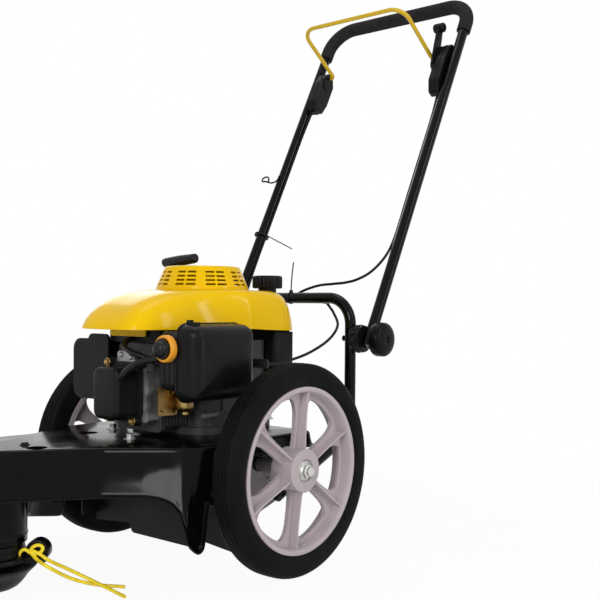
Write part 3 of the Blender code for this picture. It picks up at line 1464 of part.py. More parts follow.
def grip_foam():
    """Foam sleeve over the handle's top bar and both bends."""
    along = leg_direction() * GRIP_LEG
    corners = [
        (HANDLE_X, HANDLE_TOP_Y - along.y, HANDLE_TOP_Z - along.z),
        (HANDLE_X, HANDLE_TOP_Y, HANDLE_TOP_Z), (-HANDLE_X, HANDLE_TOP_Y, HANDLE_TOP_Z),
        (-HANDLE_X, HANDLE_TOP_Y - along.y, HANDLE_TOP_Z - along.z),
    ]
    path = bend(corners, HANDLE_BEND_R, 5)
    return sleeve("grip_foam", path, GRIP_R, TUBE_R + TOUCH, 12, FOAM, PIVOT)


def handle_frame():
    """Bent tube that stands on the axle brackets and carries the handle."""
    corners = [
        (FRAME_X, FRAME_FOOT_Y, FRAME_FOOT_Z), (FRAME_X, PIVOT_Y, FRAME_ELBOW_Z),
        (FRAME_X, PIVOT_Y, FRAME_TOP_Z), (-FRAME_X, PIVOT_Y, FRAME_TOP_Z),
        (-FRAME_X, PIVOT_Y, FRAME_ELBOW_Z), (-FRAME_X, FRAME_FOOT_Y, FRAME_FOOT_Z),
    ]
    frame = bar("handle_frame", bend(corners, FRAME_BEND_R, 4), TUBE_R, 12, BLACK_PAINT)
    for side in (1, -1):
        low, high = sorted((side * (FRAME_X - 0.02), side * (FRAME_X + 0.02)))
        drill(frame, f"frame_hole_{side_name(side)}", PIVOT, STUD_R + RUN, low, high, "X", 12)
    return frame


def index_plate(side):
    """Toothed boss between the frame and the handle, which sets the handle's angle."""
    start = FRAME_X + TUBE_R + TOUCH
    end = HANDLE_X - TUBE_R - TOUCH
    count = 2 * INDEX_TEETH

    def ring(radius, depth):
        loop = []
        for i in range(count):
            r = radius - (depth if i % 2 else 0.0)
            angle = 2 * math.pi * i / count
            loop.append((PIVOT_Y + r * math.cos(angle), PIVOT_Z + r * math.sin(angle)))
        return loop

    loops = []
    for x, radius, depth in (
        (start, INDEX_R - 0.001, 0.0), (start + 0.008, INDEX_R, 0.0),
        (start + 0.0085, INDEX_R + 0.001, INDEX_TOOTH), (start + 0.0155, INDEX_R + 0.001, INDEX_TOOTH),
        (end - 0.001, INDEX_R, 0.0), (end, INDEX_R - 0.001, 0.0),
    ):
        loops.append(lift(ring(radius, depth), "YZ", side * x))
    name = f"index_plate_{side_name(side)}"
    plate = loft(name, loops, BLACK_PLASTIC)
    low, high = sorted((side * (start - 0.01), side * (end + 0.01)))
    drill(plate, f"index_hole_{side_name(side)}", PIVOT, STUD_R + RUN, low, high, "X", 12)
    return plate


def clamp_knob(side):
    """Round clamp knob with its stud through the handle, the index plate and the frame."""
    seat = HANDLE_X + TUBE_R + TOUCH
    inner = FRAME_X - TUBE_R
    points = [
        (inner - 0.006, 0.0), (inner - 0.006, 0.0062), (inner - TOUCH, 0.0062),
        (inner - TOUCH, STUD_R), (seat, STUD_R), (seat, 0.012), (seat + 0.004, 0.014),
        (seat + 0.006, KNOB_R - 0.004), (seat + 0.009, KNOB_R), (KNOB_OUT_X - 0.007, KNOB_R),
        (KNOB_OUT_X - 0.003, KNOB_R - 0.003), (KNOB_OUT_X, KNOB_R - 0.012),
        (KNOB_OUT_X, 0.006), (KNOB_OUT_X - 0.003, 0.0045), (KNOB_OUT_X - 0.003, 0.0),
    ]
    profile = [(x * side, radius) for x, radius in points]
    name = f"clamp_knob_{side_name(side)}"
    return lathe(name, profile, BLACK_PLASTIC, PIVOT, "X", 18, PIVOT)


def pod_outline(centre, length, width):
    """A rounded housing seen from the side, its long axis along the handle leg."""
    along = leg_direction()
    turn = math.atan2(along.z, along.y)
    corners = rounded(
        [(-length / 2, -width * 0.32), (-length * 0.2, -width / 2), (length * 0.3, -width / 2),
         (length / 2, -width * 0.2), (length / 2, width * 0.3), (length * 0.2, width / 2),
         (-length * 0.3, width / 2), (-length / 2, width * 0.18)],
        0.008, 2,
    )
    matrix = Matrix.Rotation(turn, 2)
    return [
        (centre.y + (matrix @ Vector(point)).x, centre.z + (matrix @ Vector(point)).y)
        for point in corners
    ]


def pod(side, height, length, name):
    """Control housing clamped to the inner side of a handle leg."""
    centre = leg_point(side, height)
    inner_face = side * (HANDLE_X - TUBE_R - TOUCH)
    low, high = sorted((inner_face, inner_face - side * POD_T))
    outline = pod_outline(centre, length, POD_W)
    housing = slab(name, outline, "YZ", low, high, BLACK_PLASTIC, 0.003, PIVOT)
    return housing


def bail_pivot():
    """Where the bail turns, on the axis through both control housings."""
    return leg_point(1, BAIL_PIVOT_Z)


def bail():
    """Yellow wire bail in front of the grip, hooked into both housings."""
    pivot = bail_pivot()
    ear = HANDLE_X - TUBE_R - 2 * TOUCH - POD_T
    reach_y = pivot.y + BAIL_REACH_Y
    reach_z = pivot.z + BAIL_RISE_Z
    corners = [
        (ear, pivot.y, pivot.z), (BAIL_LEFT_X, pivot.y, pivot.z),
        (BAIL_LEFT_X, reach_y, reach_z), (BAIL_RIGHT_X, reach_y, reach_z),
        (BAIL_RIGHT_X, pivot.y, pivot.z), (-ear, pivot.y, pivot.z),
    ]
    centre = (0, pivot.y, pivot.z)
    radii = [0.0095, BAIL_BEND_R, BAIL_BEND_R, 0.0095]
    return tube("bail", bend(corners, radii, 4), BAIL_R, YELLOW, 2, centre)


def throttle_lever():
    """Throttle lever with its T-shaped knob, on the left housing."""
    spot = leg_point(1, LEVER_PIVOT_Z)
    face = HANDLE_X - TUBE_R - 2 * TOUCH - POD_T
    low, high = face - 0.006, face
    tip = Vector((spot.y + 0.010, spot.z + 0.085))
    base = Vector((spot.y - LEVER_FORE, spot.z))
    along = (tip - base).normalized()
    across = Vector((-along.y, along.x))
    outline = []
    for centre, radius, facing in ((base, 0.011, math.pi), (tip, 0.006, 0.0)):
        start = math.atan2(along.y, along.x) + facing - math.pi / 2
        for k in range(6):
            angle = start + math.pi * k / 5
            outline.append(centre + Vector((math.cos(angle), math.sin(angle))) * radius)
    outline = [(point.x, point.y) for point in outline]
    pivot = (face, base.x, base.y)
    lever = slab("throttle_lever", outline, "YZ", low, high, BLACK_PLASTIC, 0.0, pivot)
    knob = [(-0.014, 0.0), (-0.014, 0.008), (-0.011, 0.0105), (0.009, 0.0105), (0.012, 0.008), (0.012, 0.0)]
    join(lever, lathe("lever_knob", knob, BLACK_PLASTIC, (low + 0.003, tip.x, tip.y + 0.002), "X", 14))
    return lever


def rope_guide():
    """Pigtail wire on the right leg that parks the starter rope."""
    spot = leg_point(-1, PIVOT_Z + 0.47 * (HANDLE_TOP_Z - PIVOT_Z))
    along = leg_direction()
    out = Vector((-1, 0, 0))
    front = Vector((0, -along.z, along.y))
    start = spot + front * (TUBE_R + 0.0022)
    path = [start - along * 0.014, start + along * 0.004]
    centre = spot + front * (TUBE_R + 0.016) + along * 0.012
    for k in range(12):
        angle = math.radians(-150 + 330 * k / 11)
        path.append(
            centre + front * (0.009 * math.cos(angle)) + along * (0.009 * math.sin(angle))
            + out * (0.006 * k / 11)
        )
    return tube("rope_guide", path, 0.0019, BLACK_PAINT, 1, PIVOT)


# Control cables


def throttle_cable_upper():
    """Throttle cable on the handle: down the left leg, then across to the frame's top bar."""
    x = HANDLE_X - TUBE_R - CABLE_R - TOUCH
    route = [pod_tail(1), *leg_run(1, x, PIVOT_Z + 0.212)]
    bend_z = PIVOT_Z + 0.166
    route += [
        (0.172, leg_point(1, bend_z).y + 0.007, bend_z - 0.002), (0.150, 0.352, 0.512),
        (0.120, 0.312, 0.492), (0.092, PIVOT_Y + 0.022, 0.4790),
    ]
    return tube("throttle_cable_upper", smooth_path(route, 3), CABLE_R, RUBBER, 1, PIVOT)


def pod_tail(side):
    """Where a cable leaves the lower end of a control housing."""
    along = leg_direction()
    height = BAIL_PIVOT_Z - POD_DROP[side]
    spot = leg_point(side, height) - along * (POD_LEN[side] / 2 + 0.0030 + TOUCH)
    return Vector((side * (HANDLE_X - TUBE_R - 0.0060), spot.y, spot.z))


def leg_run(side, x, low):
    """Points down a leg, from below a control housing to a given height."""
    tail = pod_tail(side)
    heights = [tail.z + (low - tail.z) * share for share in (0.18, 0.47, 0.76, 1.0)]
    return [(x, leg_point(side, height).y, height) for height in heights]


def throttle_cable_lower():
    """Throttle cable on the chassis: from the frame's top bar in a loop to the engine."""
    route = [
        (0.088, PIVOT_Y + 0.0195, 0.4765), (0.080, PIVOT_Y + 0.0165, 0.4700),
        (0.074, PIVOT_Y + 0.0185, 0.4560),
        (0.090, PIVOT_Y + 0.020, 0.436), (0.118, PIVOT_Y - 0.004, 0.412),
        (0.130, PIVOT_Y - 0.048, 0.386), (0.128, PIVOT_Y - 0.104, 0.363),
        (0.124, PIVOT_Y - 0.160, 0.350), (0.1215, 0.080, 0.3470), (0.1210, 0.0482, 0.3470),
    ]
    return tube("throttle_cable_lower", smooth_path(route, 3), CABLE_R, RUBBER, 1)


def bail_cable_upper():
    """Bail cable on the handle: from the right housing down the right leg."""
    x = -(HANDLE_X - TUBE_R - CABLE_R - TOUCH)
    end_z = PIVOT_Z + 0.082
    route = [pod_tail(-1), *leg_run(-1, x, PIVOT_Z + 0.152)]
    route.append((x + 0.004, leg_point(-1, end_z).y, end_z))
    return tube("bail_cable_upper", smooth_path(route, 3), CABLE_R, RUBBER, 1, PIVOT)


def bail_cable_lower():
    """Bail cable on the chassis: from the right leg down through the deck to the idler."""
    x = -(HANDLE_X - TUBE_R - CABLE_R - TOUCH) + 0.004
    start = leg_point(-1, PIVOT_Z + 0.082)
    begin = Vector((x, start.y, start.z)) - leg_direction() * TOUCH * 5
    route = [
        begin, (x + 0.008, PIVOT_Y + 0.036, 0.445), (x + 0.023, PIVOT_Y + 0.032, 0.415),
        (x + 0.040, PIVOT_Y + 0.024, 0.375), (x + 0.050, PIVOT_Y - 0.004, 0.330),
        (x + 0.051, 0.205, 0.288), (x + 0.049, 0.145, 0.262), (x + 0.047, 0.102, 0.250),
        (BAIL_CABLE_X, 0.087, 0.240), (BAIL_CABLE_X, BAIL_CABLE_Y, 0.229),
        (BAIL_CABLE_X, 0.0825, 0.218), (BAIL_CABLE_X, 0.074, 0.2105),
        (BAIL_CABLE_X, 0.055, 0.2085), (BAIL_CABLE_X, 0.0296, 0.2085),
    ]
    return tube("bail_cable_lower", smooth_path(route, 3), CABLE_R, RUBBER, 1)


def centre_footprint():
    """Shift the machine along Y, so that the origin is the middle of its footprint."""
    bpy.context.view_layer.update()
    graph = bpy.context.evaluated_depsgraph_get()
    reach = []
    for obj in MACHINE.children:
        if obj.hide_render:
            continue
        solid = obj.evaluated_get(graph)
        mesh = solid.to_mesh()
        for vertex in mesh.vertices:
            reach.append((solid.matrix_world @ vertex.co).y)
        solid.to_mesh_clear()
    MACHINE.location.y = -(min(reach) + max(reach)) / 2
    bpy.context.view_layer.update()


def build():
    """Make every piece of the machine."""
    for side in (1, -1):
        tyre(side)
        rim(side)
        axle_nut(side)
        axle_bracket(side)
        index_plate(side)
        clamp_knob(side)
    axle()
    deck()
    debris_shield()
    crankshaft()
    flywheel()
    drive_belt()
    spindle_housing()
    spindle()
    trimmer_head()
    for index in range(POSTS):
        line_end(index)
    mow_ball()
    idler_arm()
    idler_roller()
    idler_spring()
    engine_block()
    cylinder_head()
    rocker_cover()
    muffler()
    air_filter_base()
    air_filter_cover()
    primer()
    carburettor()
    spark_plug_lead()
    control_plate()
    control_lever()
    governor_spring()
    fuel_tank()
    fuel_cap()
    oil_cap()
    cowl()
    recoil_cover()
    starter_grip()
    handle_tube()
    grip_foam()
    handle_frame()
    pod(1, BAIL_PIVOT_Z - POD_DROP[1], POD_LEN[1], "throttle_housing")
    pod(-1, BAIL_PIVOT_Z - POD_DROP[-1], POD_LEN[-1], "bail_housing")
    bail()
    throttle_lever()
    rope_guide()
    throttle_cable_upper()
    throttle_cable_lower()
    bail_cable_upper()
    bail_cable_lower()
    centre_footprint()


build()
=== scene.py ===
"""Looks of a walk-behind string-trimmer mower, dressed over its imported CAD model.

Lengths are metres. Pieces are built in the work frame, with the wheel axle over Y = 0, and
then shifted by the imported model's own axle position.
"""

from __future__ import annotations

import logging
from contextlib import contextmanager
from dataclasses import dataclass, field
from enum import Enum
from math import asin, atan2, cos, dist, floor, pi, radians, sin, tan
from typing import Callable, Iterable, Iterator, Sequence

import bmesh
import bpy
from mathutils import Matrix, Vector

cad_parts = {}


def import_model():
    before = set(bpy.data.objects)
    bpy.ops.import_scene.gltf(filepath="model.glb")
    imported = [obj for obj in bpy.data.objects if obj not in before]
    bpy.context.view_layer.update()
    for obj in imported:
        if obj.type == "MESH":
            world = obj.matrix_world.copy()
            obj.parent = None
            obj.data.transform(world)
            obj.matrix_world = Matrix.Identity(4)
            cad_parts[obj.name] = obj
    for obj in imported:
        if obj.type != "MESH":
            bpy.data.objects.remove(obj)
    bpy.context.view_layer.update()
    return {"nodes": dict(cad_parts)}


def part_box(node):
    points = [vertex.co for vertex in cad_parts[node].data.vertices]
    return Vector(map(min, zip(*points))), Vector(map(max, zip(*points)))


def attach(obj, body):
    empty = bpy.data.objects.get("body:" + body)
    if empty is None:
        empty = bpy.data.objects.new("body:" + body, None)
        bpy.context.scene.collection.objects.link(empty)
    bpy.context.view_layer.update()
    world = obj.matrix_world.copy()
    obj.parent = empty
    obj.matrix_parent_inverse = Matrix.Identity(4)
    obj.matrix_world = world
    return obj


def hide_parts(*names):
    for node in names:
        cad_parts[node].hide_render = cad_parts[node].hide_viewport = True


LOG = logging.getLogger("mower")
Point2 = tuple[float, float]
Point3 = tuple[float, float, float]
Piece = bpy.types.Object
Tree = bpy.types.NodeTree
Node = bpy.types.Node
Settings = dict[str | int, object]

WHEEL_R = .178
HUB = (0, 0, WHEEL_R)
PIVOT_Y = .2658
PIVOT_Z = .388
PIVOT = (0, PIVOT_Y, PIVOT_Z)
HANDLE_X = .192
HANDLE_TOP = (.6492, 1.13)
TUBE_R = .011
HEAD_X = -.086
HEAD_Y = -.368
HEAD = (HEAD_X, HEAD_Y, 0)
HEAD_TURN = 38.0
CRANK_Y = .007
WALL = .0025
TOUCH = .0003
COIL_R = .0042
COIL_WIRE = .0008
DUST_COLOUR = (.36, .34, .32)


class Axis(Enum):
    """Directions that a turned piece can point in."""

    X = Matrix.Rotation(pi / 2, 4, "Y")
    Y = Matrix.Rotation(-pi / 2, 4, "X")
    Z = Matrix.Identity(4)


class Plane(Enum):
    """Planes that an outline can be drawn on, as the axes of (u, v, thickness)."""

    XY = ((1, 0, 0), (0, 1, 0), (0, 0, 1))
    YZ = ((0, 1, 0), (0, 0, 1), (1, 0, 0))
    XZ = ((1, 0, 0), (0, 0, 1), (0, 1, 0))

    def matrix(self) -> Matrix:
        """Matrix from outline axes to the work frame."""
        return Matrix([Vector(axis) for axis in self.value]).transposed().to_4x4()


# Finishes


@dataclass(frozen=True)
class Finish:
    """One surface finish, which becomes a procedural material.

    Grain holds a scale and a depth, mottle a scale and an amount, and slot is the record's
    material slot that the finish usually stands for.
    """

    name: str
    slot: str
    colour: Point3
    roughness: float
    specular: float
    grain: Point2
    mottle: Point2
    rough_spread: float = .08
    metallic: float = 0.0
    dust: float = 0.0
    wear: float = 0.0
    wear_colour: Point3 = (.25, .25, .25)


GLOSS_YELLOW = Finish(
    "gloss_yellow", "yellow", (.84, .52, .002), .12, .09, (420, .03), (9, .04), .05)
GLOSS_BLACK = Finish(
    "gloss_black_paint", "black_paint", (.002, .002, .0023), .14, .1, (260, .05),
    (14, .2), .06, wear=.2, wear_colour=(.03, .03, .032))
MOULDED_BLACK = Finish(
    "moulded_black", "black_plastic", (.008, .0078, .008), .42, .12, (1700, .16),
    (30, .25), .1, wear=.2, wear_colour=(.03, .03, .032))
SATIN_BLACK = Finish(
    "satin_black", "black_plastic", (.0045, .0044, .005), .3, .12, (1300, .08), (22, .2))
TYRE_RUBBER = Finish(
    "tyre_rubber", "tyre", (.006, .006, .0064), .5, .03, (750, .3), (26, .3), .14,
    dust=.02)
SOFT_RUBBER = Finish(
    "soft_rubber", "rubber", (.007, .007, .007), .36, .2, (1500, .1), (40, .2))
RIM_PLASTIC = Finish(
    "rim_plastic", "rim_grey", (.47, .405, .425), .44, .3, (1100, .09), (18, .05),
    dust=.03)
BRIGHT_ZINC = Finish(
    "bright_zinc", "steel", (.56, .56, .54), .32, .5, (1600, .12), (60, .12), .12, 1.0)
GOLD_ZINC = Finish(
    "gold_zinc", "gold_zinc", (.4, .27, .1), .34, .5, (1400, .1), (70, .25), .12, 1.0)
CAST_ALLOY = Finish(
    "cast_alloy", "cast", (.34, .34, .335), .52, .5, (620, .4), (45, .25), .14, .85)
DARK_CAST = Finish(
    "dark_cast", "cast", (.026, .025, .025), .5, .3, (620, .4), (40, .3), .12,
    wear=.3, wear_colour=(.12, .12, .12))
TUBE_PAINT = Finish(
    "tube_paint", "black_paint", (.0015, .0015, .0017), .07, .13, (500, .06), (24, .2),
    .06)
KNOB_PLASTIC = Finish(
    "knob_plastic", "black_plastic", (.003, .003, .0035), .28, .08, (1500, .1), (30, .2))
GLOSS_BLACK_PLASTIC = Finish(
    "gloss_black_plastic", "black_plastic", (.005, .005, .005), .16, .2, (600, .03),
    (30, .15), .05)
# Grey plate colour with painted light: on the axle brackets this grey stands in for a reflection on
# black paint, and it is lightened to make up for their shade. On the governor spring it is the
# spring's own grey.
GREY_PLATE_AND_PAINTED_LIGHT = Finish(
    "grey_plate", "steel", (.3, .275, .285), .42, .35, (900, .15), (35, .2), .12, .3)
GRIP_FOAM = Finish(
    "grip_foam", "foam", (.022, .0205, .021), .86, .1, (1000, .6), (120, .3))
PRIMER_ORANGE = Finish(
    "primer_orange", "orange", (.78, .33, .02), .4, .35, (1200, .08), (40, .08))
NYLON_LINE = Finish(
    "nylon_line", "line", (.95, .73, .025), .3, .35, (500, .1), (80, .1))
WIRE_YELLOW = Finish(
    "wire_yellow", "yellow_wire", (.66, .43, .012), .3, .35, (700, .05), (30, .06))
CABLE_BLACK = Finish(
    "cable_black", "rubber", (.005, .005, .005), .38, .12, (1500, .08), (40, .2))


def tuned(node: Node, settings: Settings) -> Node:
    """Set a shader node.

    Args:
        node: The node.
        settings: Values. A number or a capitalised name is an input, any other an attribute.

    Returns:
        The node.
    """
    for label, value in settings.items():
        if isinstance(label, int) or label[0].isupper():
            node.inputs[label].default_value = value
        else:
            setattr(node, label, value)
    return node


def graph(
    tree: Tree, kinds: dict[str, tuple[str, Settings]], links: str, **known: Node,
) -> None:
    """Add shader nodes to a tree and link them.

    Args:
        tree: The tree.
        kinds: Kind and settings of each new node.
        links: Links such as "noise.Fac > mix.A, mix.B", with semicolons between them.
        known: Nodes that the tree already has, by the names that the links use.
    """
    nodes = dict(known)
    for name, (kind, settings) in kinds.items():
        nodes[name] = tuned(tree.nodes.new(f"ShaderNode{kind}"), settings)

    def socket(end: str, side: str) -> bpy.types.NodeSocket:
        """The socket that one end of a link names."""
        name, label = end.split(".")
        return getattr(nodes[name], side)[int(label) if label.isdigit() else label]

    for link in links.split("; "):
        source, targets = link.split(" > ")
        for target in targets.split(", "):
            tree.links.new(socket(source, "outputs"), socket(target, "inputs"))


class FinishShop:
    """Builds the shared node groups once, and one material for each finish."""

    def __init__(self) -> None:
        """Make the groups: fine grain over a ripple, mottle, and dust or rubbed edges."""
        self.made: dict[str, bpy.types.Material] = {}
        self.grain = self._group(
            "surface_grain", {"Vector": None, "Scale": 800.0}, {"Height": "Float"},
            {
                "fine": ("TexNoise", {"Detail": 4.0}), "slow": ("TexNoise", {"Detail": 2.0}),
                "drop": ("Math", {"operation": "MULTIPLY", 1: .12}),
                "both": ("Math", {"operation": "MULTIPLY_ADD", 1: .6}),
            },
            "start.Vector > fine.Vector, slow.Vector; start.Scale > fine.Scale, drop.0; "
            "drop.0 > slow.Scale; slow.Fac > both.0; fine.Fac > both.2; both.0 > end.Height",
        )
        grey = (.5, .5, .5, 1.0)
        self.mottle = self._group(
            "mottle",
            {"Vector": None, "Scale": 30.0, "Color": grey, "Amount": .2, "Roughness": .5,
             "Spread": .1},
            {"Color": "Color", "Roughness": "Float"},
            {
                "noise": ("TexNoise", {"Detail": 5.0}),
                "centred": ("MapRange", {
                    "From Min": .3, "From Max": .7, "To Min": -1.0, "To Max": 1.0}),
                "factor": ("Math", {"operation": "MULTIPLY_ADD", 2: 1.0}),
                "tint": ("VectorMath", {"operation": "SCALE"}),
                "rough": ("Math", {"operation": "MULTIPLY_ADD", "use_clamp": True}),
            },
            "start.Vector > noise.Vector; start.Scale > noise.Scale; noise.Fac > centred.Value; "
            "centred.Result > factor.0, rough.0; start.Amount > factor.1; "
            "start.Color > tint.0; factor.0 > tint.Scale; start.Spread > rough.1; "
            "start.Roughness > rough.2; tint.Vector > end.Color; rough.0 > end.Roughness",
        )
        self.settle = self._group(
            "settled_layer",
            {"Vector": None, "Scale": 12.0, "Color": grey, "Layer": (.4, .38, .36, 1.0),
             "Dust": 0.0, "Edge": 0.0},
            {"Color": "Color"},
            {
                "noise": ("TexNoise", {"Detail": 6.0}),
                "patch": ("MapRange", {"From Min": .45, "From Max": .8}),
                "shape": ("NewGeometry", {}),
                "edge": ("MapRange", {"From Min": .53, "From Max": .62}),
                "rubbed": ("Math", {"operation": "MULTIPLY"}),
                "dusty": ("Math", {"operation": "MULTIPLY_ADD", "use_clamp": True}),
                "mix": ("Mix", {"data_type": "RGBA"}),
            },
            "start.Vector > noise.Vector; start.Scale > noise.Scale; noise.Fac > patch.Value; "
            "shape.Pointiness > edge.Value; edge.Result > rubbed.0; start.Edge > rubbed.1; "
            "patch.Result > dusty.0; start.Dust > dusty.1; rubbed.0 > dusty.2; "
            "dusty.0 > mix.Factor; start.Color > mix.A; start.Layer > mix.B; "
            "mix.Result > end.Color",
        )

    @staticmethod
    def _group(
        name: str, inputs: dict[str, object], outputs: dict[str, str],
        kinds: dict[str, tuple[str, Settings]], links: str,
    ) -> Tree:
        """Make a shader node group.

        Args:
            name: Name of the group.
            inputs: Default of each input, None for a vector.
            outputs: Kind of each output.
            kinds: Kind and settings of each node.
            links: Links, from the node called start to the one called end.

        Returns:
            The group's tree.
        """
        tree = bpy.data.node_groups.new(name, "ShaderNodeTree")
        new_socket = tree.interface.new_socket
        for label, default in inputs.items():
            kind = {float: "Float", tuple: "Color"}.get(type(default), "Vector")
            socket = new_socket(label, in_out="INPUT", socket_type=f"NodeSocket{kind}")
            if default is not None:
                socket.default_value = default
        for label, kind in outputs.items():
            new_socket(label, in_out="OUTPUT", socket_type=f"NodeSocket{kind}")
        start, end = (tree.nodes.new(f"NodeGroup{kind}") for kind in ("Input", "Output"))
        graph(tree, kinds, links, start=start, end=end)
        return tree

    def material(self, finish: Finish) -> bpy.types.Material:
        """The material of a finish, made at its first use.

        Args:
            finish: The finish wanted.

        Returns:
            Its material.
        """
        if finish.name in self.made:
            return self.made[finish.name]
        made = self.made[finish.name] = bpy.data.materials.new(finish.name)
        made.use_nodes = True
        shader = tuned(made.node_tree.nodes["Principled BSDF"], {
            "Metallic": finish.metallic, "Specular IOR Level": finish.specular,
        })
        layer = DUST_COLOUR if finish.dust > 0 else finish.wear_colour
        graph(made.node_tree, {
            "place": ("TexCoord", {}),
            "mottle": ("Group", {
                "node_tree": self.mottle, "Scale": finish.mottle[0],
                "Color": (*finish.colour, 1.0), "Amount": finish.mottle[1],
                "Roughness": finish.roughness, "Spread": finish.rough_spread,
            }),
            "settled": ("Group", {
                "node_tree": self.settle, "Layer": (*layer, 1.0), "Dust": finish.dust,
                "Edge": finish.wear,
            }),
            "grain": ("Group", {"node_tree": self.grain, "Scale": finish.grain[0]}),
            "bump": ("Bump", {"Strength": finish.grain[1], "Distance": .0004}),
        }, (
            "place.Object > mottle.Vector, settled.Vector, grain.Vector; "
            "mottle.Color > settled.Color; "
            "settled.Color > shader.Base Color; mottle.Roughness > shader.Roughness; "
            "grain.Height > bump.Height; bump.Normal > shader.Normal"
        ), shader=shader)
        return made


# Outlines and paths


def arc(corner: Vector, before: Vector, after: Vector, radius: float) -> tuple[Vector, ...]:
    """The arc that rounds a corner.

    Args:
        corner: The corner.
        before: The point before it.
        after: The point after it.
        radius: Radius of the arc.

    Returns:
        The arc's centre, and the arms from it to the arc's start and end.
    """
    back, ahead = (before - corner).normalized(), (after - corner).normalized()
    half = back.angle(ahead) / 2
    centre = corner + (back + ahead).normalized() * (radius / sin(half))
    reach = radius / tan(half)
    return centre, corner + back * reach - centre, corner + ahead * reach - centre


def each(values: float | Sequence[float], count: int) -> Sequence[float]:
    """One value for each corner, from a list or from a single value."""
    return [values] * count if isinstance(values, (int, float)) else values


def rounded(
    corners: Sequence[Point2], radii: float | Sequence[float], steps: int = 6,
) -> list[Point2]:
    """Round the corners of an outline.

    Args:
        corners: Corners of an anticlockwise outline.
        radii: One radius, or one for each corner.
        steps: Steps in each arc.

    Returns:
        The rounded outline.
    """
    outline: list[Point2] = []
    count = len(corners)
    for i, radius in enumerate(each(radii, count)):
        centre, start, end = arc(
            Vector(corners[i]), Vector(corners[i - 1]), Vector(corners[(i + 1) % count]), radius)
        sweep = start.angle_signed(end)
        for k in range(steps + 1):
            arm = start.copy()
            arm.rotate(Matrix.Rotation(-sweep * k / steps, 2))
            outline.append(tuple(centre + arm))
    return outline


def rectangle(low_u: float, high_u: float, low_v: float, high_v: float) -> list[Point2]:
    """Corners of a rectangle, anticlockwise."""
    return [(low_u, low_v), (high_u, low_v), (high_u, high_v), (low_u, high_v)]


def circle(u: float, v: float, radius: float, count: int = 32) -> list[Point2]:
    """Points on a circle, anticlockwise."""
    turn = 2 * pi / count
    return [(u + radius * cos(turn * i), v + radius * sin(turn * i)) for i in range(count)]


def grown(outline: Sequence[Point2], amount: float) -> list[Point2]:
    """An anticlockwise outline moved outwards by amount."""
    moved: list[Point2] = []
    for i, point in enumerate(outline):
        here = Vector(point)
        back = (here - Vector(outline[i - 1])).normalized()
        ahead = (Vector(outline[(i + 1) % len(outline)]) - here).normalized()
        normal = Vector((back.y + ahead.y, -back.x - ahead.x)).normalized()
        spread = max(.35, normal.dot(Vector((back.y, -back.x))))
        moved.append(tuple(here + normal * (amount / spread)))
    return moved


def toothed(radius: float, depth: float, count: int, flank: float) -> list[Point2]:
    """A circle with teeth round it.

    Args:
        radius: Radius over the teeth.
        depth: Depth of the gaps between them.
        count: Number of teeth.
        flank: Share of the depth that a flank's point has.

    Returns:
        Six points a tooth: two at full radius, a flank, two at the root and a flank.
    """
    ring: list[Point2] = []
    drops = (0.0, 0.0, flank, 1.0, 1.0, flank)
    for i in range(count * len(drops)):
        angle = 2 * pi * i / (count * len(drops))
        r = radius - depth * drops[i % len(drops)]
        ring.append((r * cos(angle), r * sin(angle)))
    return ring


def offset(start: float, *rings: Point2) -> list[Point2]:
    """Rings of a turned piece whose distances count from start."""
    return [(start + along, radius) for along, radius in rings]


def bend(corners: Sequence[Point3], radii: float | Sequence[float], steps: int = 12) -> list[Vector]:
    """Run a path through corners, with each inner corner turned by an arc.

    Args:
        corners: Ends and corners of the path.
        radii: One radius, or one for each inner corner.
        steps: Steps in each arc.

    Returns:
        The path.
    """
    spots = [Vector(corner) for corner in corners]
    path = [spots[0]]
    inner = each(radii, len(spots) - 2)
    for before, corner, after, radius in zip(spots, spots[1:], spots[2:], inner):
        centre, start, end = arc(corner, before, after, radius)
        for k in range(steps + 1):
            path.append(centre + start.slerp(end, k / steps).normalized() * radius)
    return [*path, spots[-1]]


def smooth_path(points: Sequence[Point3], per_span: int = 8) -> list[Vector]:
    """A Catmull-Rom curve read between given route points."""
    route = [Vector(point) for point in points]
    route = [2 * route[0] - route[1], *route, 2 * route[-1] - route[-2]]
    path: list[Vector] = []
    for a, b, c, d in zip(route, route[1:], route[2:], route[3:]):
        for t in (k / per_span for k in range(per_span)):
            path.append(.5 * (2 * b + (c - a) * t + (2 * a - 5 * b + 4 * c - d) * t * t
                               + (3 * b - a - 3 * c + d) * t ** 3))
    return [*path, route[-2]]


def helix(start: Point3, end: Point3, radius: float, turns: int, per_turn: int = 14) -> list[Vector]:
    """A coil from start to end, with a short straight tail at each end."""
    first, last = Vector(start), Vector(end)
    along = last - first
    axis = along.normalized()
    across = axis.orthogonal().normalized()
    up = axis.cross(across)
    path = [first - axis * radius * .8]
    count = turns * per_turn
    for k in range(count + 1):
        angle = 2 * pi * k / per_turn
        spot = first + along * (k / count)
        path.append(spot + across * (radius * cos(angle)) + up * (radius * sin(angle)))
    return [*path, last + axis * radius * .8]


def leg_direction() -> Vector:
    """Unit vector up the handle's legs."""
    return Vector((0, HANDLE_TOP[0] - PIVOT_Y, HANDLE_TOP[1] - PIVOT_Z)).normalized()


def leg_point(side: int, height: float) -> Vector:
    """The middle of a handle leg at a given height."""
    share = (height - PIVOT_Z) / (HANDLE_TOP[1] - PIVOT_Z)
    return Vector((side * HANDLE_X, PIVOT_Y + (HANDLE_TOP[0] - PIVOT_Y) * share, height))


def leg_turn(spot: Vector) -> Matrix:
    """Matrix that takes the Z axis to the handle's legs and the origin to a spot."""
    turn = leg_direction().to_track_quat("Z", "X").to_matrix().to_4x4()
    return Matrix.Translation(spot) @ turn


# Modelling by hand tools


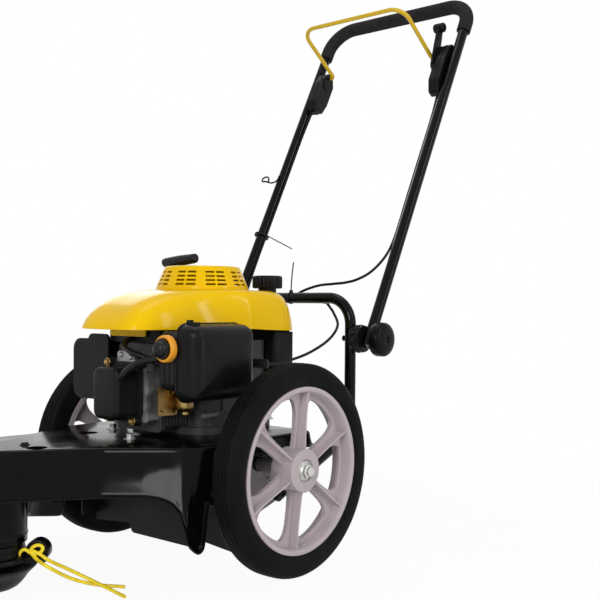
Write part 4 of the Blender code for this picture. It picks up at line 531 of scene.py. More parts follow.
class Bench:
    """Edit-mode tools that the sub-assemblies share."""

    def __init__(self, shop: FinishShop, shift: float) -> None:
        """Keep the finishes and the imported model's axle position."""
        self.shop = shop
        self.shift = shift
        self.count = 0

    @staticmethod
    def clear() -> None:
        """Deselect everything."""
        bpy.ops.object.select_all(action="DESELECT")

    @staticmethod
    def mode(name: str) -> None:
        """Go into edit or object mode."""
        bpy.ops.object.mode_set(mode=name)

    def pick(self, obj: Piece) -> Piece:
        """Select one object alone and make it active."""
        self.clear()
        obj.select_set(True)
        bpy.context.view_layer.objects.active = obj
        return obj

    @contextmanager
    def editing(self, obj: Piece) -> Iterator[None]:
        """Work on a piece in edit mode, with all of it selected."""
        self.pick(obj)
        self.mode("EDIT")
        bpy.ops.mesh.select_all(action="SELECT")
        yield
        self.mode("OBJECT")

    @contextmanager
    def choosing(
        self, obj: Piece, kind: str, items: Iterable[object], wanted: Callable[[object], bool],
    ) -> Iterator[None]:
        """Work on a piece in edit mode, with some of it selected.

        Args:
            obj: The piece.
            kind: Select mode, VERT or FACE.
            items: Its vertices or faces.
            wanted: Tells which of them are selected.

        Returns:
            A context to work in.
        """
        self.pick(obj)
        self.mode("EDIT")
        bpy.ops.mesh.select_mode(type=kind)
        bpy.ops.mesh.select_all(action="DESELECT")
        self.mode("OBJECT")
        for item in items:
            item.select = wanted(item)
        self.mode("EDIT")
        yield
        self.mode("OBJECT")

    def named(self, name: str) -> Piece:
        """Name the primitive that was just added."""
        obj = bpy.context.active_object
        obj.name = name
        return obj

    def ring(self, name: str, count: int, radius: float, fill: str = "NOTHING") -> Piece:
        """Add a circle primitive, the start of most pieces."""
        self.clear()
        bpy.ops.mesh.primitive_circle_add(vertices=count, radius=radius, fill_type=fill)
        return self.named(name)

    def mend(self, obj: Piece, smooth: float = 30.0) -> Piece:
        """Merge doubles, turn faces outwards and shade the piece."""
        with self.editing(obj):
            bpy.ops.mesh.remove_doubles(threshold=1e-5)
            bpy.ops.mesh.normals_make_consistent(inside=False)
        bpy.ops.object.shade_smooth_by_angle(angle=radians(smooth))
        return obj

    def turned(
        self, name: str, profile: Sequence[Point2], at: Point3, axis: Axis = Axis.Z,
        steps: int = 64, bored: bool = False,
    ) -> Piece:
        """Turn a piece by extruding and scaling a ring.

        Args:
            name: Name of the piece.
            profile: Distance along the axis and radius of each ring.
            at: A point on the axis, from which the distances count.
            axis: Direction of the axis.
            steps: Points round the ring.
            bored: True where the profile closes on itself round a bore.

        Returns:
            The turned object.
        """
        rings = [*profile, profile[0]] if bored else profile
        obj = self.ring(name, steps, rings[0][1])
        with self.editing(obj):
            bpy.ops.transform.translate(value=(0, 0, rings[0][0]))
            if not bored:
                bpy.ops.mesh.edge_face_add()
            for (low, before), (high, after) in zip(rings, rings[1:]):
                step = {"value": (0, 0, high - low)}
                bpy.ops.mesh.extrude_region_move(TRANSFORM_OT_translate=step)
                ratio = after / before
                if abs(ratio - 1) > 1e-9:
                    bpy.ops.transform.resize(value=(ratio, ratio, 1), center_override=(0, 0, high))
        obj.data.transform(Matrix.Translation(Vector(at)) @ axis.value)
        return self.mend(obj)

    def bored(
        self, name: str, profile: Sequence[Point2], at: Point3, axis: Axis = Axis.Z, steps: int = 72,
    ) -> Piece:
        """Turn a piece whose profile closes on itself round a bore."""
        return self.turned(name, profile, at, axis, steps, bored=True)

    def plate(
        self, name: str, outline: Sequence[Point2], plane: Plane, low: float, high: float,
        bevel: float = .0008, segments: int = 2,
    ) -> Piece:
        """Extrude an outline and bevel its two rims.

        Args:
            name: Name of the piece.
            outline: Its outline in the plane.
            plane: The plane of the outline.
            low: Where its thickness starts.
            high: Where its thickness ends.
            bevel: Width of the bevel on both rims.
            segments: Segments of the bevel.

        Returns:
            The plate.
        """
        obj = self.ring(name, len(outline), 1.0, "NGON")
        for vertex, (u, v) in zip(obj.data.vertices, outline):
            vertex.co = (u, v, low)
        with self.editing(obj):
            step = {"value": (0, 0, high - low)}
            bpy.ops.mesh.extrude_region_move(TRANSFORM_OT_translate=step)
            bpy.ops.mesh.select_all(action="DESELECT")
            for edge in bmesh.from_edit_mesh(obj.data).edges:
                first, second = (vertex.co.z for vertex in edge.verts)
                edge.select_set(abs(first - second) < 1e-9)
            bmesh.update_edit_mesh(obj.data)
            bpy.ops.mesh.bevel(offset=bevel, segments=segments, affect="EDGES")
        obj.data.transform(plane.matrix())
        return self.mend(obj)

    def slab(
        self, name: str, sides: Sequence[float], radius: float, steps: int, plane: Plane,
        *levels: float,
    ) -> Piece:
        """A plate on a rounded rectangle, whose sides are (low u, high u, low v, high v)."""
        return self.plate(name, rounded(rectangle(*sides), radius, steps), plane, *levels)

    def swept(
        self, name: str, path: Iterable[Vector], radius: float, resolution: int = 6,
    ) -> Piece:
        """Run a round bar along a path."""
        points = list(path)
        self.clear()
        bpy.ops.curve.primitive_bezier_curve_add()
        obj = self.named(name)
        curve = obj.data
        curve.splines.clear()
        curve.dimensions = "3D"
        spline = curve.splines.new("POLY")
        spline.points.add(len(points) - 1)
        for slot, point in zip(spline.points, points):
            slot.co = (*point, 1.0)
        curve.bevel_depth = radius
        curve.bevel_resolution = resolution
        curve.use_fill_caps = True
        self.pick(obj)
        bpy.ops.object.convert(target="MESH")
        return self.mend(bpy.context.active_object, 50.0)

    def routed(
        self, name: str, points: Sequence[Point3], radius: float, resolution: int, per_span: int = 6,
    ) -> Piece:
        """Run a round bar along a smooth path through points."""
        return self.swept(name, smooth_path(points, per_span), radius, resolution)

    def spring(self, name: str, start: Point3, end: Point3, turns: int) -> Piece:
        """A small coil spring between two points."""
        return self.swept(name, helix(start, end, COIL_R, turns), COIL_WIRE, 2)

    def drill(
        self, radius: float, low: float, high: float, at: Point3, axis: Axis = Axis.Z,
        steps: int = 48,
    ) -> Piece:
        """A round tool for cut, from low to high along its axis."""
        return self.turned("drill", [(low, radius), (high, radius)], at, axis, steps)

    def modify(self, obj: Piece, kind: str, **settings: object) -> Piece:
        """Add a modifier with its settings and apply it."""
        self.pick(obj)
        bpy.ops.object.modifier_add(type=kind)
        modifier = obj.modifiers[-1]
        for label, value in settings.items():
            setattr(modifier, label, value)
        bpy.ops.object.modifier_apply(modifier=modifier.name)
        return obj

    def cut(self, obj: Piece, *tools: Piece) -> Piece:
        """Cut tools out of a piece and throw them away."""
        for tool in tools:
            self.modify(obj, "BOOLEAN", object=tool, operation="DIFFERENCE", solver="EXACT")
            bpy.data.objects.remove(tool, do_unlink=True)
        return self.mend(obj)

    def wall(self, obj: Piece, outward: Point3) -> Piece:
        """Turn an open skin outwards, give it a wall and shade its rims."""
        way = Vector(outward)
        if sum(face.normal.dot(way) * face.area for face in obj.data.polygons) < 0:
            obj.data.flip_normals()
        self.modify(obj, "SOLIDIFY", thickness=WALL, offset=-1.0, use_even_offset=True)
        self.pick(obj)
        bpy.ops.object.shade_smooth_by_angle(angle=radians(35))
        return obj

    def joined(self, first: Piece, *others: Piece) -> Piece:
        """Join pieces that are fixed together into one object."""
        self.pick(first)
        for other in others:
            other.select_set(True)
        bpy.ops.object.join()
        return first

    def copied(self, obj: Piece, name: str, matrix: Matrix) -> Piece:
        """Copy a piece with its own mesh, moved by a matrix."""
        self.pick(obj)
        bpy.ops.object.duplicate(linked=False)
        twin = self.named(name)
        twin.data.transform(matrix)
        if matrix.determinant() < 0:
            twin.data.flip_normals()
        return twin

    def dress(
        self, obj: Piece, finish: Finish, *nodes: str, body: str = "chassis", slot: str = "",
        name: str = "",
    ) -> None:
        """Finish a piece: its material, its body and the CAD nodes that it stands for.

        Args:
            obj: The finished piece, in the work frame.
            finish: Its finish.
            nodes: CAD nodes that it replaces.
            body: CAD body that it rides on.
            slot: Material slot of the record, where it isn't the finish's usual one; not used.
            name: A new name for the piece.
        """
        slot = slot or finish.slot
        obj.data.transform(Matrix.Translation((0, self.shift, 0)))
        obj.data.materials.clear()
        obj.data.materials.append(self.shop.material(finish))
        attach(obj, body)
        if nodes:
            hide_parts(*nodes)
        self.count += 1
        LOG.info("piece %s on %s, %d faces", obj.name, body, len(obj.data.polygons))
        if name:
            obj.name = name

    def fit(self, *pieces: tuple) -> None:
        """Make and dress pieces in turn.

        Args:
            pieces: Maker, finish and CAD node of each, and its body if not the chassis.
        """
        for make, finish, node, *body in pieces:
            self.dress(make(self), finish, *filter(None, (node,)), body=(*body, "chassis")[0])

    def pair(
        self, make: Callable[[Bench], Piece], finish: Finish, node: str, body: str = "chassis",
    ) -> None:
        """Make the left piece of a pair, mirror it to the right and dress both.

        Args:
            make: Makes the left piece.
            finish: Finish of both.
            node: CAD nodes that they replace, without the side.
            body: CAD bodies that they ride on, with {side} for the side.
        """
        left = make(self)
        right = self.copied(left, f"{node}_dressed_right", mirrored_x())
        left.name = f"{node}_dressed_left"
        for obj, side in ((left, "left"), (right, "right")):
            self.dress(obj, finish, f"{node}_{side}", body=body.format(side=side))

    def bolt(
        self, name: str, at: Point3, axis: Axis, radius: float = .0055, height: float = .005,
        sense: int = 1, washer: float = 0.0,
    ) -> Piece:
        """A hexagon bolt head with a chamfered top and, if asked, a washer."""
        chamfer, start = radius * .16, 0.0
        parts: list[Piece] = []
        if washer > 0:
            start = .0015
            parts.append(self.turned(f"{name}_washer", [
                (0, washer), (sense * .0012, washer), (sense * start, washer - .0004),
            ], at, axis, 24))
        head = self.turned(name, [
            (sense * start, radius), (sense * (start + height - chamfer), radius),
            (sense * (start + height), radius - chamfer * 1.4),
        ], at, axis, 6)
        return self.joined(head, *parts)

    def skinned(
        self, name: str, loops: Sequence[Sequence[Sequence[float]]], first: bool = False,
        last: bool = False, smooth: float = 35.0,
    ) -> Piece:
        """Shape a grid primitive into a skin through a row of closed loops.

        Args:
            name: Name of the piece.
            loops: Loops of points, all with the same number of points.
            first: True where the first loop is filled with a face.
            last: True where the last loop is filled with a face.
            smooth: Angle in degrees up to which edges are shaded smooth.

        Returns:
            The skin, closed where both ends are filled.
        """
        across, down = len(loops[0]), len(loops) - 1
        self.clear()
        bpy.ops.mesh.primitive_grid_add(x_subdivisions=across, y_subdivisions=down, size=2)
        obj = self.named(name)
        rows: dict[int, list[int]] = {}
        for vertex in obj.data.vertices:
            i = round((vertex.co.x + 1) / 2 * across)
            j = round((vertex.co.y + 1) / 2 * down)
            rows.setdefault(j, []).append(vertex.index)
            vertex.co = loops[j][i % across]
        for wanted, row in ((first, rows[0]), (last, rows[down])):
            if wanted:
                with self.choosing(obj, "VERT", obj.data.vertices, lambda spot: spot.index in row):
                    bpy.ops.mesh.edge_face_add()
        return self.mend(obj, smooth)

    def keep(self, finish: Finish, *nodes: str) -> None:
        """Give CAD nodes that stay in view a procedural material."""
        for node in nodes:
            materials = bpy.data.objects[node].data.materials
            materials.clear()
            materials.append(self.shop.material(finish))
            LOG.info("kept node %s in %s", node, finish.name)


def at_level(outline: Sequence[Point2], level: float, plane: Plane = Plane.XY) -> list[Vector]:
    """Put an outline on its plane at a level."""
    matrix = plane.matrix()
    return [matrix @ Vector((u, v, level)) for u, v in outline]


def at_levels(outline: Sequence[Point2], plane: Plane, *rings: Point2) -> list[list[Vector]]:
    """Loops of an outline on a plane, each given by its growth and its level."""
    return [at_level(grown(outline, out), level, plane) for out, level in rings]


def mirrored_x() -> Matrix:
    """Matrix that swaps the machine's left and right."""
    return Matrix.Scale(-1, 4, (1, 0, 0))


# Cords, camera and light


@dataclass
class TrimmerLines:
    """Free ends of the nylon line, and its turn round the posts of the head."""

    diameter: float = .0056
    heading: float = radians(HEAD_TURN)
    stand_off: float = .0145
    routes: dict[str, tuple[Point3, ...]] = field(default_factory=lambda: {
        "near_a": (
            (.062, .032, .0655), (.0745, .0385, .06), (.0881, .0475, .05), (.0949, .08, .03),
            (.1276, .1036, .012), (.1992, .1051, .0032)),
        "near_b": (
            (.0605, .0305, .0625), (.075, .033, .053), (.0986, .0365, .045), (.1024, .0746, .02),
            (.1223, .1078, .006), (.1606, .1368, .0032)),
        "far_a": (
            (-.069, -.047, .066), (-.08, -.05, .058), (-.105, -.04, .04), (-.122, -.01, .024),
            (-.132, .024, .011), (-.136, .06, .004)),
        "far_b": (
            (-.0672, -.041, .063), (-.08, -.03, .056), (-.098, 0.0, .036), (-.106, .036, .018),
            (-.104, .07, .007), (-.096, .102, .0032)),
    })
    turns: tuple[tuple[Point2, ...], ...] = (
        ((.048, .053), (.0505, .0615), (.056, .0665), (.0615, .0655), (.0665, .0615)),
        ((.066, .0625), (.07, .07), (.0775, .074), (.0845, .0728), (.0866, .0685), (.0835, .0635),
         (.077, .0605), (.069, .061)),
    )

    def build(self, bench: Bench) -> None:
        """Lay each end as a cord, from its post down to the ground.

        Args:
            bench: Tools and finishes.
        """
        centre = Vector(HEAD)
        for name, route in self.routes.items():
            path = smooth_path([centre + Vector(point) for point in route], 7)
            obj = bench.swept(f"line_{name}", path, self.diameter / 2, 4)
            bench.dress(obj, NYLON_LINE, f"line_end_{name}", body="head")
        for name, sign in (("near", 1), ("far", -1)):
            out = Vector((cos(self.heading), sin(self.heading), 0)) * sign
            face = centre + Vector((out.y, -out.x, 0)) * self.stand_off
            bights = [bench.routed(f"line_turn_{name}", [
                face + out * reach + Vector((0, 0, height)) for reach, height in turn
            ], self.diameter / 2, 4, 7) for turn in self.turns]
            bench.dress(bench.joined(*bights), NYLON_LINE, body="head")


@dataclass
class Studio:
    """Camera at the photograph's angle, pale floor and soft light."""

    location: Point3 = (1.20133, -1.16018, .45317)
    right: Point3 = (.77245, .63502, .00823)
    up: Point3 = (-.01656, .0072, .99984)
    back: Point3 = (.63486, -.77246, .01608)
    lens: float = 54.48
    sensor: float = 36.0
    lens_shift: Point2 = (-.0069, .032)
    light: float = .42
    aim: Point3 = (0.0, -.1, .35)

    def placed(self, name: str, data: bpy.types.ID, matrix: Matrix) -> Piece:
        """Put a camera or a lamp in the scene."""
        obj = bpy.data.objects.new(name, data)
        bpy.context.scene.collection.objects.link(obj)
        obj.matrix_world = matrix
        return obj

    def camera(self, shift: float) -> None:
        """Place the camera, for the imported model's axle position along Y."""
        data = bpy.data.cameras.new("studio_camera")
        data.lens, data.sensor_width = self.lens, self.sensor
        data.shift_x, data.shift_y = self.lens_shift
        x, y, z = self.location
        turn = Matrix([self.right, self.up, self.back]).transposed().to_4x4()
        matrix = Matrix.Translation((x, y + shift, z)) @ turn
        bpy.context.scene.camera = self.placed("studio_camera", data, matrix)

    def lamp(self, name: str, at: Point3, aim: Point3, size: Point2, power: float) -> None:
        """Add one area lamp.

        Args:
            name: Name of the lamp.
            at: Where it stands.
            aim: What it points at.
            size: Width and height of its face.
            power: Its power in watts.
        """
        data = bpy.data.lights.new(name, "AREA")
        data.shape, data.energy = "RECTANGLE", power
        data.size, data.size_y = size
        obj = self.placed(name, data, Matrix.Identity(4))
        obj.location = at
        facing = Vector(aim) - Vector(at)
        obj.rotation_euler = facing.to_track_quat("-Z", "Y").to_euler()

    def floor(self, bench: Bench) -> None:
        """A plain pale floor that runs into the white background."""
        bench.clear()
        bpy.ops.mesh.primitive_plane_add(size=14)
        obj = bench.named("studio_floor")
        made = bpy.data.materials.new("pale_floor")
        made.use_nodes = True
        shader = tuned(made.node_tree.nodes["Principled BSDF"], {
            "Base Color": (.86, .86, .86, 1), "Roughness": .7,
        })
        graph(made.node_tree, {
            "glow": ("Emission", {}), "place": ("TexCoord", {}),
            "reach": ("VectorMath", {"operation": "LENGTH"}),
            "fade": ("MapRange", {
                "interpolation_type": "SMOOTHSTEP", "From Min": .5, "From Max": 1.4,
                "To Min": .94}),
            "ray": ("LightPath", {}), "seen": ("Math", {"operation": "MAXIMUM"}),
            "share": ("Math", {"operation": "MULTIPLY"}), "mix": ("MixShader", {}),
        }, (
            "place.Object > reach.0; reach.Value > fade.Value; ray.Is Camera Ray > seen.0; "
            "ray.Is Glossy Ray > seen.1; seen.0 > share.0; fade.Result > share.1; "
            "share.0 > mix.Fac; shader.BSDF > mix.1; glow.Emission > mix.2; "
            "mix.Shader > end.Surface"
        ), shader=shader, end=made.node_tree.nodes["Material Output"])
        obj.data.materials.append(made)

    def world(self) -> None:
        """A world that is white where it is seen or mirrored, and softer as light."""
        made = bpy.context.scene.world = bpy.data.worlds.new("white_studio")
        made.use_nodes = True
        tree = made.node_tree
        white = {"Color": (1, 1, 1, 1)}
        soft = tuned(tree.nodes["Background"], {**white, "Strength": self.light})
        graph(tree, {
            "plain": ("Background", white), "ray": ("LightPath", {}),
            "seen": ("Math", {"operation": "MAXIMUM"}),
            "both": ("Math", {"operation": "MAXIMUM"}), "mix": ("MixShader", {}),
        }, (
            "ray.Is Camera Ray > seen.0; ray.Is Transmission Ray > seen.1; seen.0 > both.0; "
            "ray.Is Glossy Ray > both.1; both.0 > mix.Fac; soft.Background > mix.1; "
            "plain.Background > mix.2; mix.Shader > end.Surface"
        ), soft=soft, end=tree.nodes["World Output"])

    def build(self, bench: Bench) -> None:
        """Set up camera, floor, lamps and world."""
        bpy.context.scene.view_settings.view_transform = "Standard"
        self.camera(bench.shift)
        self.floor(bench)
        self.world()
        self.lamp("key_lamp", (1.3, -2.4, 1.3), self.aim, (.9, .9), 31)
        self.lamp("fill_lamp", (2.7, .7, 1.5), self.aim, (.16, 2.6), 20)
        self.lamp("top_lamp", (-.2, .1, 3.0), (0, 0, 0), (1.2, 1.2), 12)
        self.lamp("back_lamp", (-2.3, 1.4, 1.8), self.aim, (1.4, 1.4), 12)


# Wheels


@dataclass
class Wheels:
    """Two solid tyres on six-spoke rims, with their nuts."""

    middle: float = .2305
    web_in: float = .2255
    web_out: float = .2335
    spokes: int = 6
    turn: float = radians(-6.0)
    shape: tuple[Point2, ...] = (
        (.013, .0324), (.0105, .05), (.0106, .07), (.0118, .09), (.0136, .1), (.0168, .108),
        (.021, .1135), (.0262, .117), (.033, .1192), (.043, .1215), (.049, .128),
    )

    def tyre(self, bench: Bench) -> Piece:
        """Solid tyre with four tread grooves."""
        half = [
            (.0005, .178), (.0016, .1778), (.0022, .177), (.0028, .1757), (.0036, .1752),
            (.0044, .1757), (.005, .177), (.0056, .1778), (.0086, .1778), (.0092, .177),
            (.0098, .1757), (.0106, .1752), (.0114, .1757), (.012, .177), (.0126, .1776),
            (.015, .177), (.0172, .1757), (.019, .1735), (.0203, .1708), (.0211, .1675),
            (.0217, .1633), (.022, .159), (.022, .154), (.0218, .149), (.0212, .145),
            (.0202, .1418), (.018, .1394),
        ]
        profile = [(-o, r) for o, r in reversed(half)] + half
        return bench.bored("tyre", offset(self.middle, *profile), HUB, Axis.X, 112)

    def rim(self, bench: Bench) -> Piece:
        """Rim: hub, barrel and ring, and one spoke with its rib copied round."""
        hub = bench.bored("rim", [
            (.2543, .019), (.2543, .0342), (.2539, .0354), (.2529, .0362), (.25, .0364),
            (.2115, .0364), (.2075, .0345), (.2065, .0315), (.2065, .0084), (.2503, .0084),
            (.2503, .018), (.2507, .0187), (.253, .0189),
        ], HUB, Axis.X, 64)
        barrel = bench.bored("barrel", [
            (.2095, .139), (.2095, .1298), (.2101, .1288), (.2115, .1282), (.2242, .1275),
            (.2348, .1275), (.244, .1289), (.2488, .1301), (.2508, .131), (.252, .1324),
            (.2524, .1345), (.2522, .1372), (.2512, .139),
        ], HUB, Axis.X, 128)
        band = bench.bored("band", [
            *offset(self.web_in, (.0003, .13), (.0003, .1209), (.0013, .1199)),
            *offset(self.web_out, (-.0013, .1199), (-.0003, .1209), (-.0003, .13)),
        ], HUB, Axis.X, 128)
        edge = [*self.shape, *((-u, v) for u, v in reversed(self.shape))]
        spoke = bench.plate("spoke", edge, Plane.YZ, self.web_in, self.web_out, .0012)
        rib = bench.plate("rib", [
            (.232, .035), (.25, .035), (.2482, .06), (.247, .095), (.2478, .118), (.2484, .1296),
            (.232, .13),
        ], Plane.XZ, -.0017, .0017, .0007)
        foot = bench.plate("foot", [
            (-.0055, .034), (.0055, .034), (.0017, .044), (-.0017, .044),
        ], Plane.YZ, .233, .2462, .0005)
        arm = bench.joined(spoke, rib, foot)
        arms = [
            bench.copied(arm, f"arm_{k}", Matrix.Rotation(2 * pi * k / self.spokes, 4, "X"))
            for k in range(1, self.spokes)
        ]
        arm = bench.joined(arm, *arms)
        arm.data.transform(Matrix.Translation(HUB) @ Matrix.Rotation(self.turn, 4, "X"))
        return bench.joined(hub, barrel, band, arm)

    def nut(self, bench: Bench) -> Piece:
        """Flanged hexagon nut with its washer."""
        washer = bench.turned("washer", [
            (.2504, .0162), (.2521, .0165), (.2525, .0161), (.2526, .011),
        ], HUB, Axis.X, 48)
        flange = bench.turned("flange", [
            (.2525, .014), (.2537, .014), (.2545, .0132), (.256, .0122),
        ], HUB, Axis.X, 48)
        nut = bench.bolt("axle_nut", (.254, 0, WHEEL_R), Axis.X, .0118, .008)
        return bench.joined(nut, washer, flange)

    def build(self, bench: Bench) -> None:
        """Build the left wheel and mirror it to the right."""
        bench.pair(self.tyre, TYRE_RUBBER, "tyre", "wheel_{side}")
        bench.pair(self.rim, RIM_PLASTIC, "rim", "wheel_{side}")
        bench.pair(self.nut, BRIGHT_ZINC, "axle_nut")
        bench.keep(BRIGHT_ZINC, "axle")


# Deck, brackets and shield


@dataclass
class Deck:
    """Pressed deck with its lip and legs, the shield and the axle brackets."""

    top: float = .229
    half: float = .185
    rear: float = .105
    lip_z: float = .155
    side_lip_z: float = .145
    rear_lip_z: float = .204
    leg_z: float = .068
    flare: float = .006
    round_r: float = .008
    tongue_r: float = .075
    shield_y: float = -.09

    def rails(self) -> list[tuple[float, ...]]:
        """Top and lip points in pairs, from rear left round the front.

        Returns:
            Entries of (top x, top y, lip x, lip y, lip z).
        """
        half, rear, leg, flare = self.half, self.rear, self.leg_z, self.flare
        side_z, rear_z, front_z = self.side_lip_z, self.rear_lip_z, self.lip_z
        lip = half + .005
        tip, shoulder = Vector((HEAD_X, HEAD_Y)), Vector((.07, -.273))
        rear_corner = [
            (half - .012, rear, half - .012, rear + .002, rear_z),
            (half - .003, rear - .004, half - .001, rear - .002, rear_z),
            (half, rear - .014, lip - .003, rear - .014, rear_z), (half, -.075, lip, -.075, rear_z),
            (half, -.088, lip, -.09, side_z),
        ]
        rails = [
            *rear_corner, (half, -.142, lip, -.168, side_z),
            (half, -.149, lip, -.177, leg + .006),
            (half - .002, -.157, lip + .001, -.188, leg),
            (half - .007, -.167, lip, -.203, leg + .012),
            (half - .015, -.177, lip - .003, -.205, leg + .044),
            (half - .024, -.187, lip - .011, -.206, leg + .063),
            (half - .034, -.197, lip - .026, -.21, front_z - .011),
            (half - .048, -.21, lip - .043, -.222, front_z - .003),
            (half - .065, -.226, lip - .062, -.236, front_z),
        ]
        arm = tip - shoulder
        heading = atan2(arm.y, arm.x) + asin(self.tongue_r / arm.length)
        rails.append((*shoulder, shoulder.x + flare, shoulder.y - flare, front_z))
        half_way = shoulder + Vector((cos(heading), sin(heading))) * arm.length * .5
        rails.append((*half_way, half_way.x + flare, half_way.y - flare * .6, front_z))
        start = (heading + pi / 2 + pi) % (2 * pi) - pi
        for k in range(11):
            angle = start + (-pi - start) * k / 10
            facing = Vector((cos(angle), sin(angle)))
            lip_spot = tip + facing * (self.tongue_r + flare)
            rails.append((*(tip + facing * self.tongue_r), *lip_spot, front_z))
        return [
            *rails, (-.152, -.3, -.158, -.3, front_z),
            (-.146, -.268, -.153, -.274, front_z - .005),
            (-.147, -.254, -.161, -.26, leg + .055),
            (-.151, -.244, -.171, -.248, leg + .014),
            (-.158, -.23, -.181, -.236, leg + .01),
            (-half + .013, -.21, -lip + .001, -.214, leg + .005),
            (-half + .003, -.186, -lip, -.186, leg), (-half, -.16, -lip, -.16, leg - .004),
            (-half, -.151, -lip, -.151, side_z),
            *((-x, y, -lip_x, lip_y, z) for x, y, lip_x, lip_y, z in reversed(rear_corner)),
        ]

    def eased(self, reach: float = .007, steps: int = 4) -> list[tuple[float, ...]]:
        """The rails with each corner drawn as a short curve."""
        rails = list(reversed(self.rails()))
        fine: list[tuple[float, ...]] = []
        for i, here in enumerate(rails):
            ends = []
            for other in (rails[i - 1], rails[(i + 1) % len(rails)]):
                gap = dist(here[2:], other[2:])
                share = min(.46, reach / max(gap, 1e-6))
                ends.append([a + (b - a) * share for a, b in zip(here, other)])
            for t in (k / (steps - 1) for k in range(steps)):
                fine.append(tuple(
                    (1 - t) ** 2 * a + 2 * t * (1 - t) * b + t * t * c
                    for a, b, c in zip(ends[0], here, ends[1])
                ))
        return fine

    def pressing(self, bench: Bench) -> Piece:
        """The deck: flat top, rounded edge, flared skirt and rolled lip."""
        rails = self.eased()
        edge, lip = [rail[:2] for rail in rails], [rail[2:4] for rail in rails]
        start = self.top - self.round_r
        loops = at_levels(edge, Plane.XY, *(
            (-self.round_r * (1 - sin(a)), self.top - self.round_r * (1 - cos(a)))
            for a in (pi / 2 * k / 4 for k in range(5))
        ))
        for down, out in ((.2, .12), (.4, .28), (.6, .48), (.8, .72), (1.0, 1.0)):
            loops.append([
                (x + (lx - x) * out, y + (ly - y) * out, start + (lz + .006 - start) * down)
                for x, y, lx, ly, lz in rails
            ])
        for out, low in ((.0006, .0032), (.0022, .001), (.0045, .0002), (.0062, 0)):
            loops.append([(*spot, rail[4] + low) for spot, rail in zip(grown(lip, out), rails)])
        shell = bench.skinned("deck_pressing", loops, first=True)
        bench.wall(shell, (0, 0, 1))
        return bench.cut(shell, *[
            bench.drill(radius, .2, .3, (x, y, 0), steps=steps) for x, y, radius, steps in (
                (0, CRANK_Y, .015, 48), (-.003, -.342, .0165, 48), (-.078, -.188, .0165, 48),
                (-.1225, .084, .004, 24))
        ])

    def shield(self, bench: Bench) -> Piece:
        """Debris shield with a deeper middle and turned-back ends."""
        y = self.shield_y
        panel = bench.plate("shield", [
            (-.1815, .046), (-.088, .0545), (-.078, .04), (-.074, .038), (.074, .038), (.078, .04),
            (.088, .0545), (.1815, .046), (.1815, .17), (.07, .17), (-.07, .17), (-.1815, .17),
        ], Plane.XZ, y, y + .003, .0009)
        wing = bench.plate("wing", rounded([
            (y + .001, .048), (-.03, .046), (-.044, .096), (-.06, .096), (-.07, .169),
            (y + .001, .169),
        ], [.001, .006, .006, .003, .004, .001], 4), Plane.YZ, .1785, .1815, .0009)
        tab = bench.slab("shield_tab", (y - .034, y + .002, .06, .17), .006, 4, Plane.YZ,
                         -.1815, -.1785, .0009)
        other = bench.copied(wing, "other_wing", mirrored_x())
        bead_line = [Vector((x, y - .0008, .118)) for x in (-.17, 0, .17)]
        bead = bench.swept("bead", bead_line, .0022, 3)
        return bench.joined(panel, wing, other, tab, bead)

    def build(self, bench: Bench) -> None:
        """Build deck, shield, brackets' fittings and bolts."""
        bench.fit(
            (self.pressing, GLOSS_BLACK, "deck"),
            (self.shield, MOULDED_BLACK, "debris_shield"),
        )
        # Painted light on the axle brackets: a light grey stands in for a reflection on their black
        # paint and for the light lost in their shade.
        bench.keep(GREY_PLATE_AND_PAINTED_LIGHT, "axle_bracket_left", "axle_bracket_right")
        bolts = [
            bench.bolt("bolt", (.1352 * sign, y, z), Axis.X, .0062, .005, sign, .009)
            for sign in (1, -1) for y, z in ((.041, .146), (-.052, .186), (.074, .196))
        ] + [
            bench.bolt("bolt", (x, y, self.top), Axis.Z, .0065, .008, 1, .0105)
            for x, y in ((.0295, -.1851), (-.0875, -.1267), (-.098, .096))
        ]
        bench.dress(bench.joined(*bolts), BRIGHT_ZINC, name="deck_bolts")
        rings = [
            bench.bolt("bolt", (HEAD_X + .045 * u, HEAD_Y + .03 * v, self.top), Axis.Z,
                       .0062, .003, 1, .008)
            for u in (1, -1) for v in (1, -1)
        ] + [
            bench.bored("ring", [
                (along * sign, radius) for along, radius in (
                    (.148, .0121), (.148, .0136), (.1515, .0136), (.1515, .0121))
            ], HUB, Axis.X, 32)
            for sign in (1, -1)
        ]
        bench.dress(bench.joined(*rings), SOFT_RUBBER, name="sleeve_rings")


# Trimmer head and belt drive


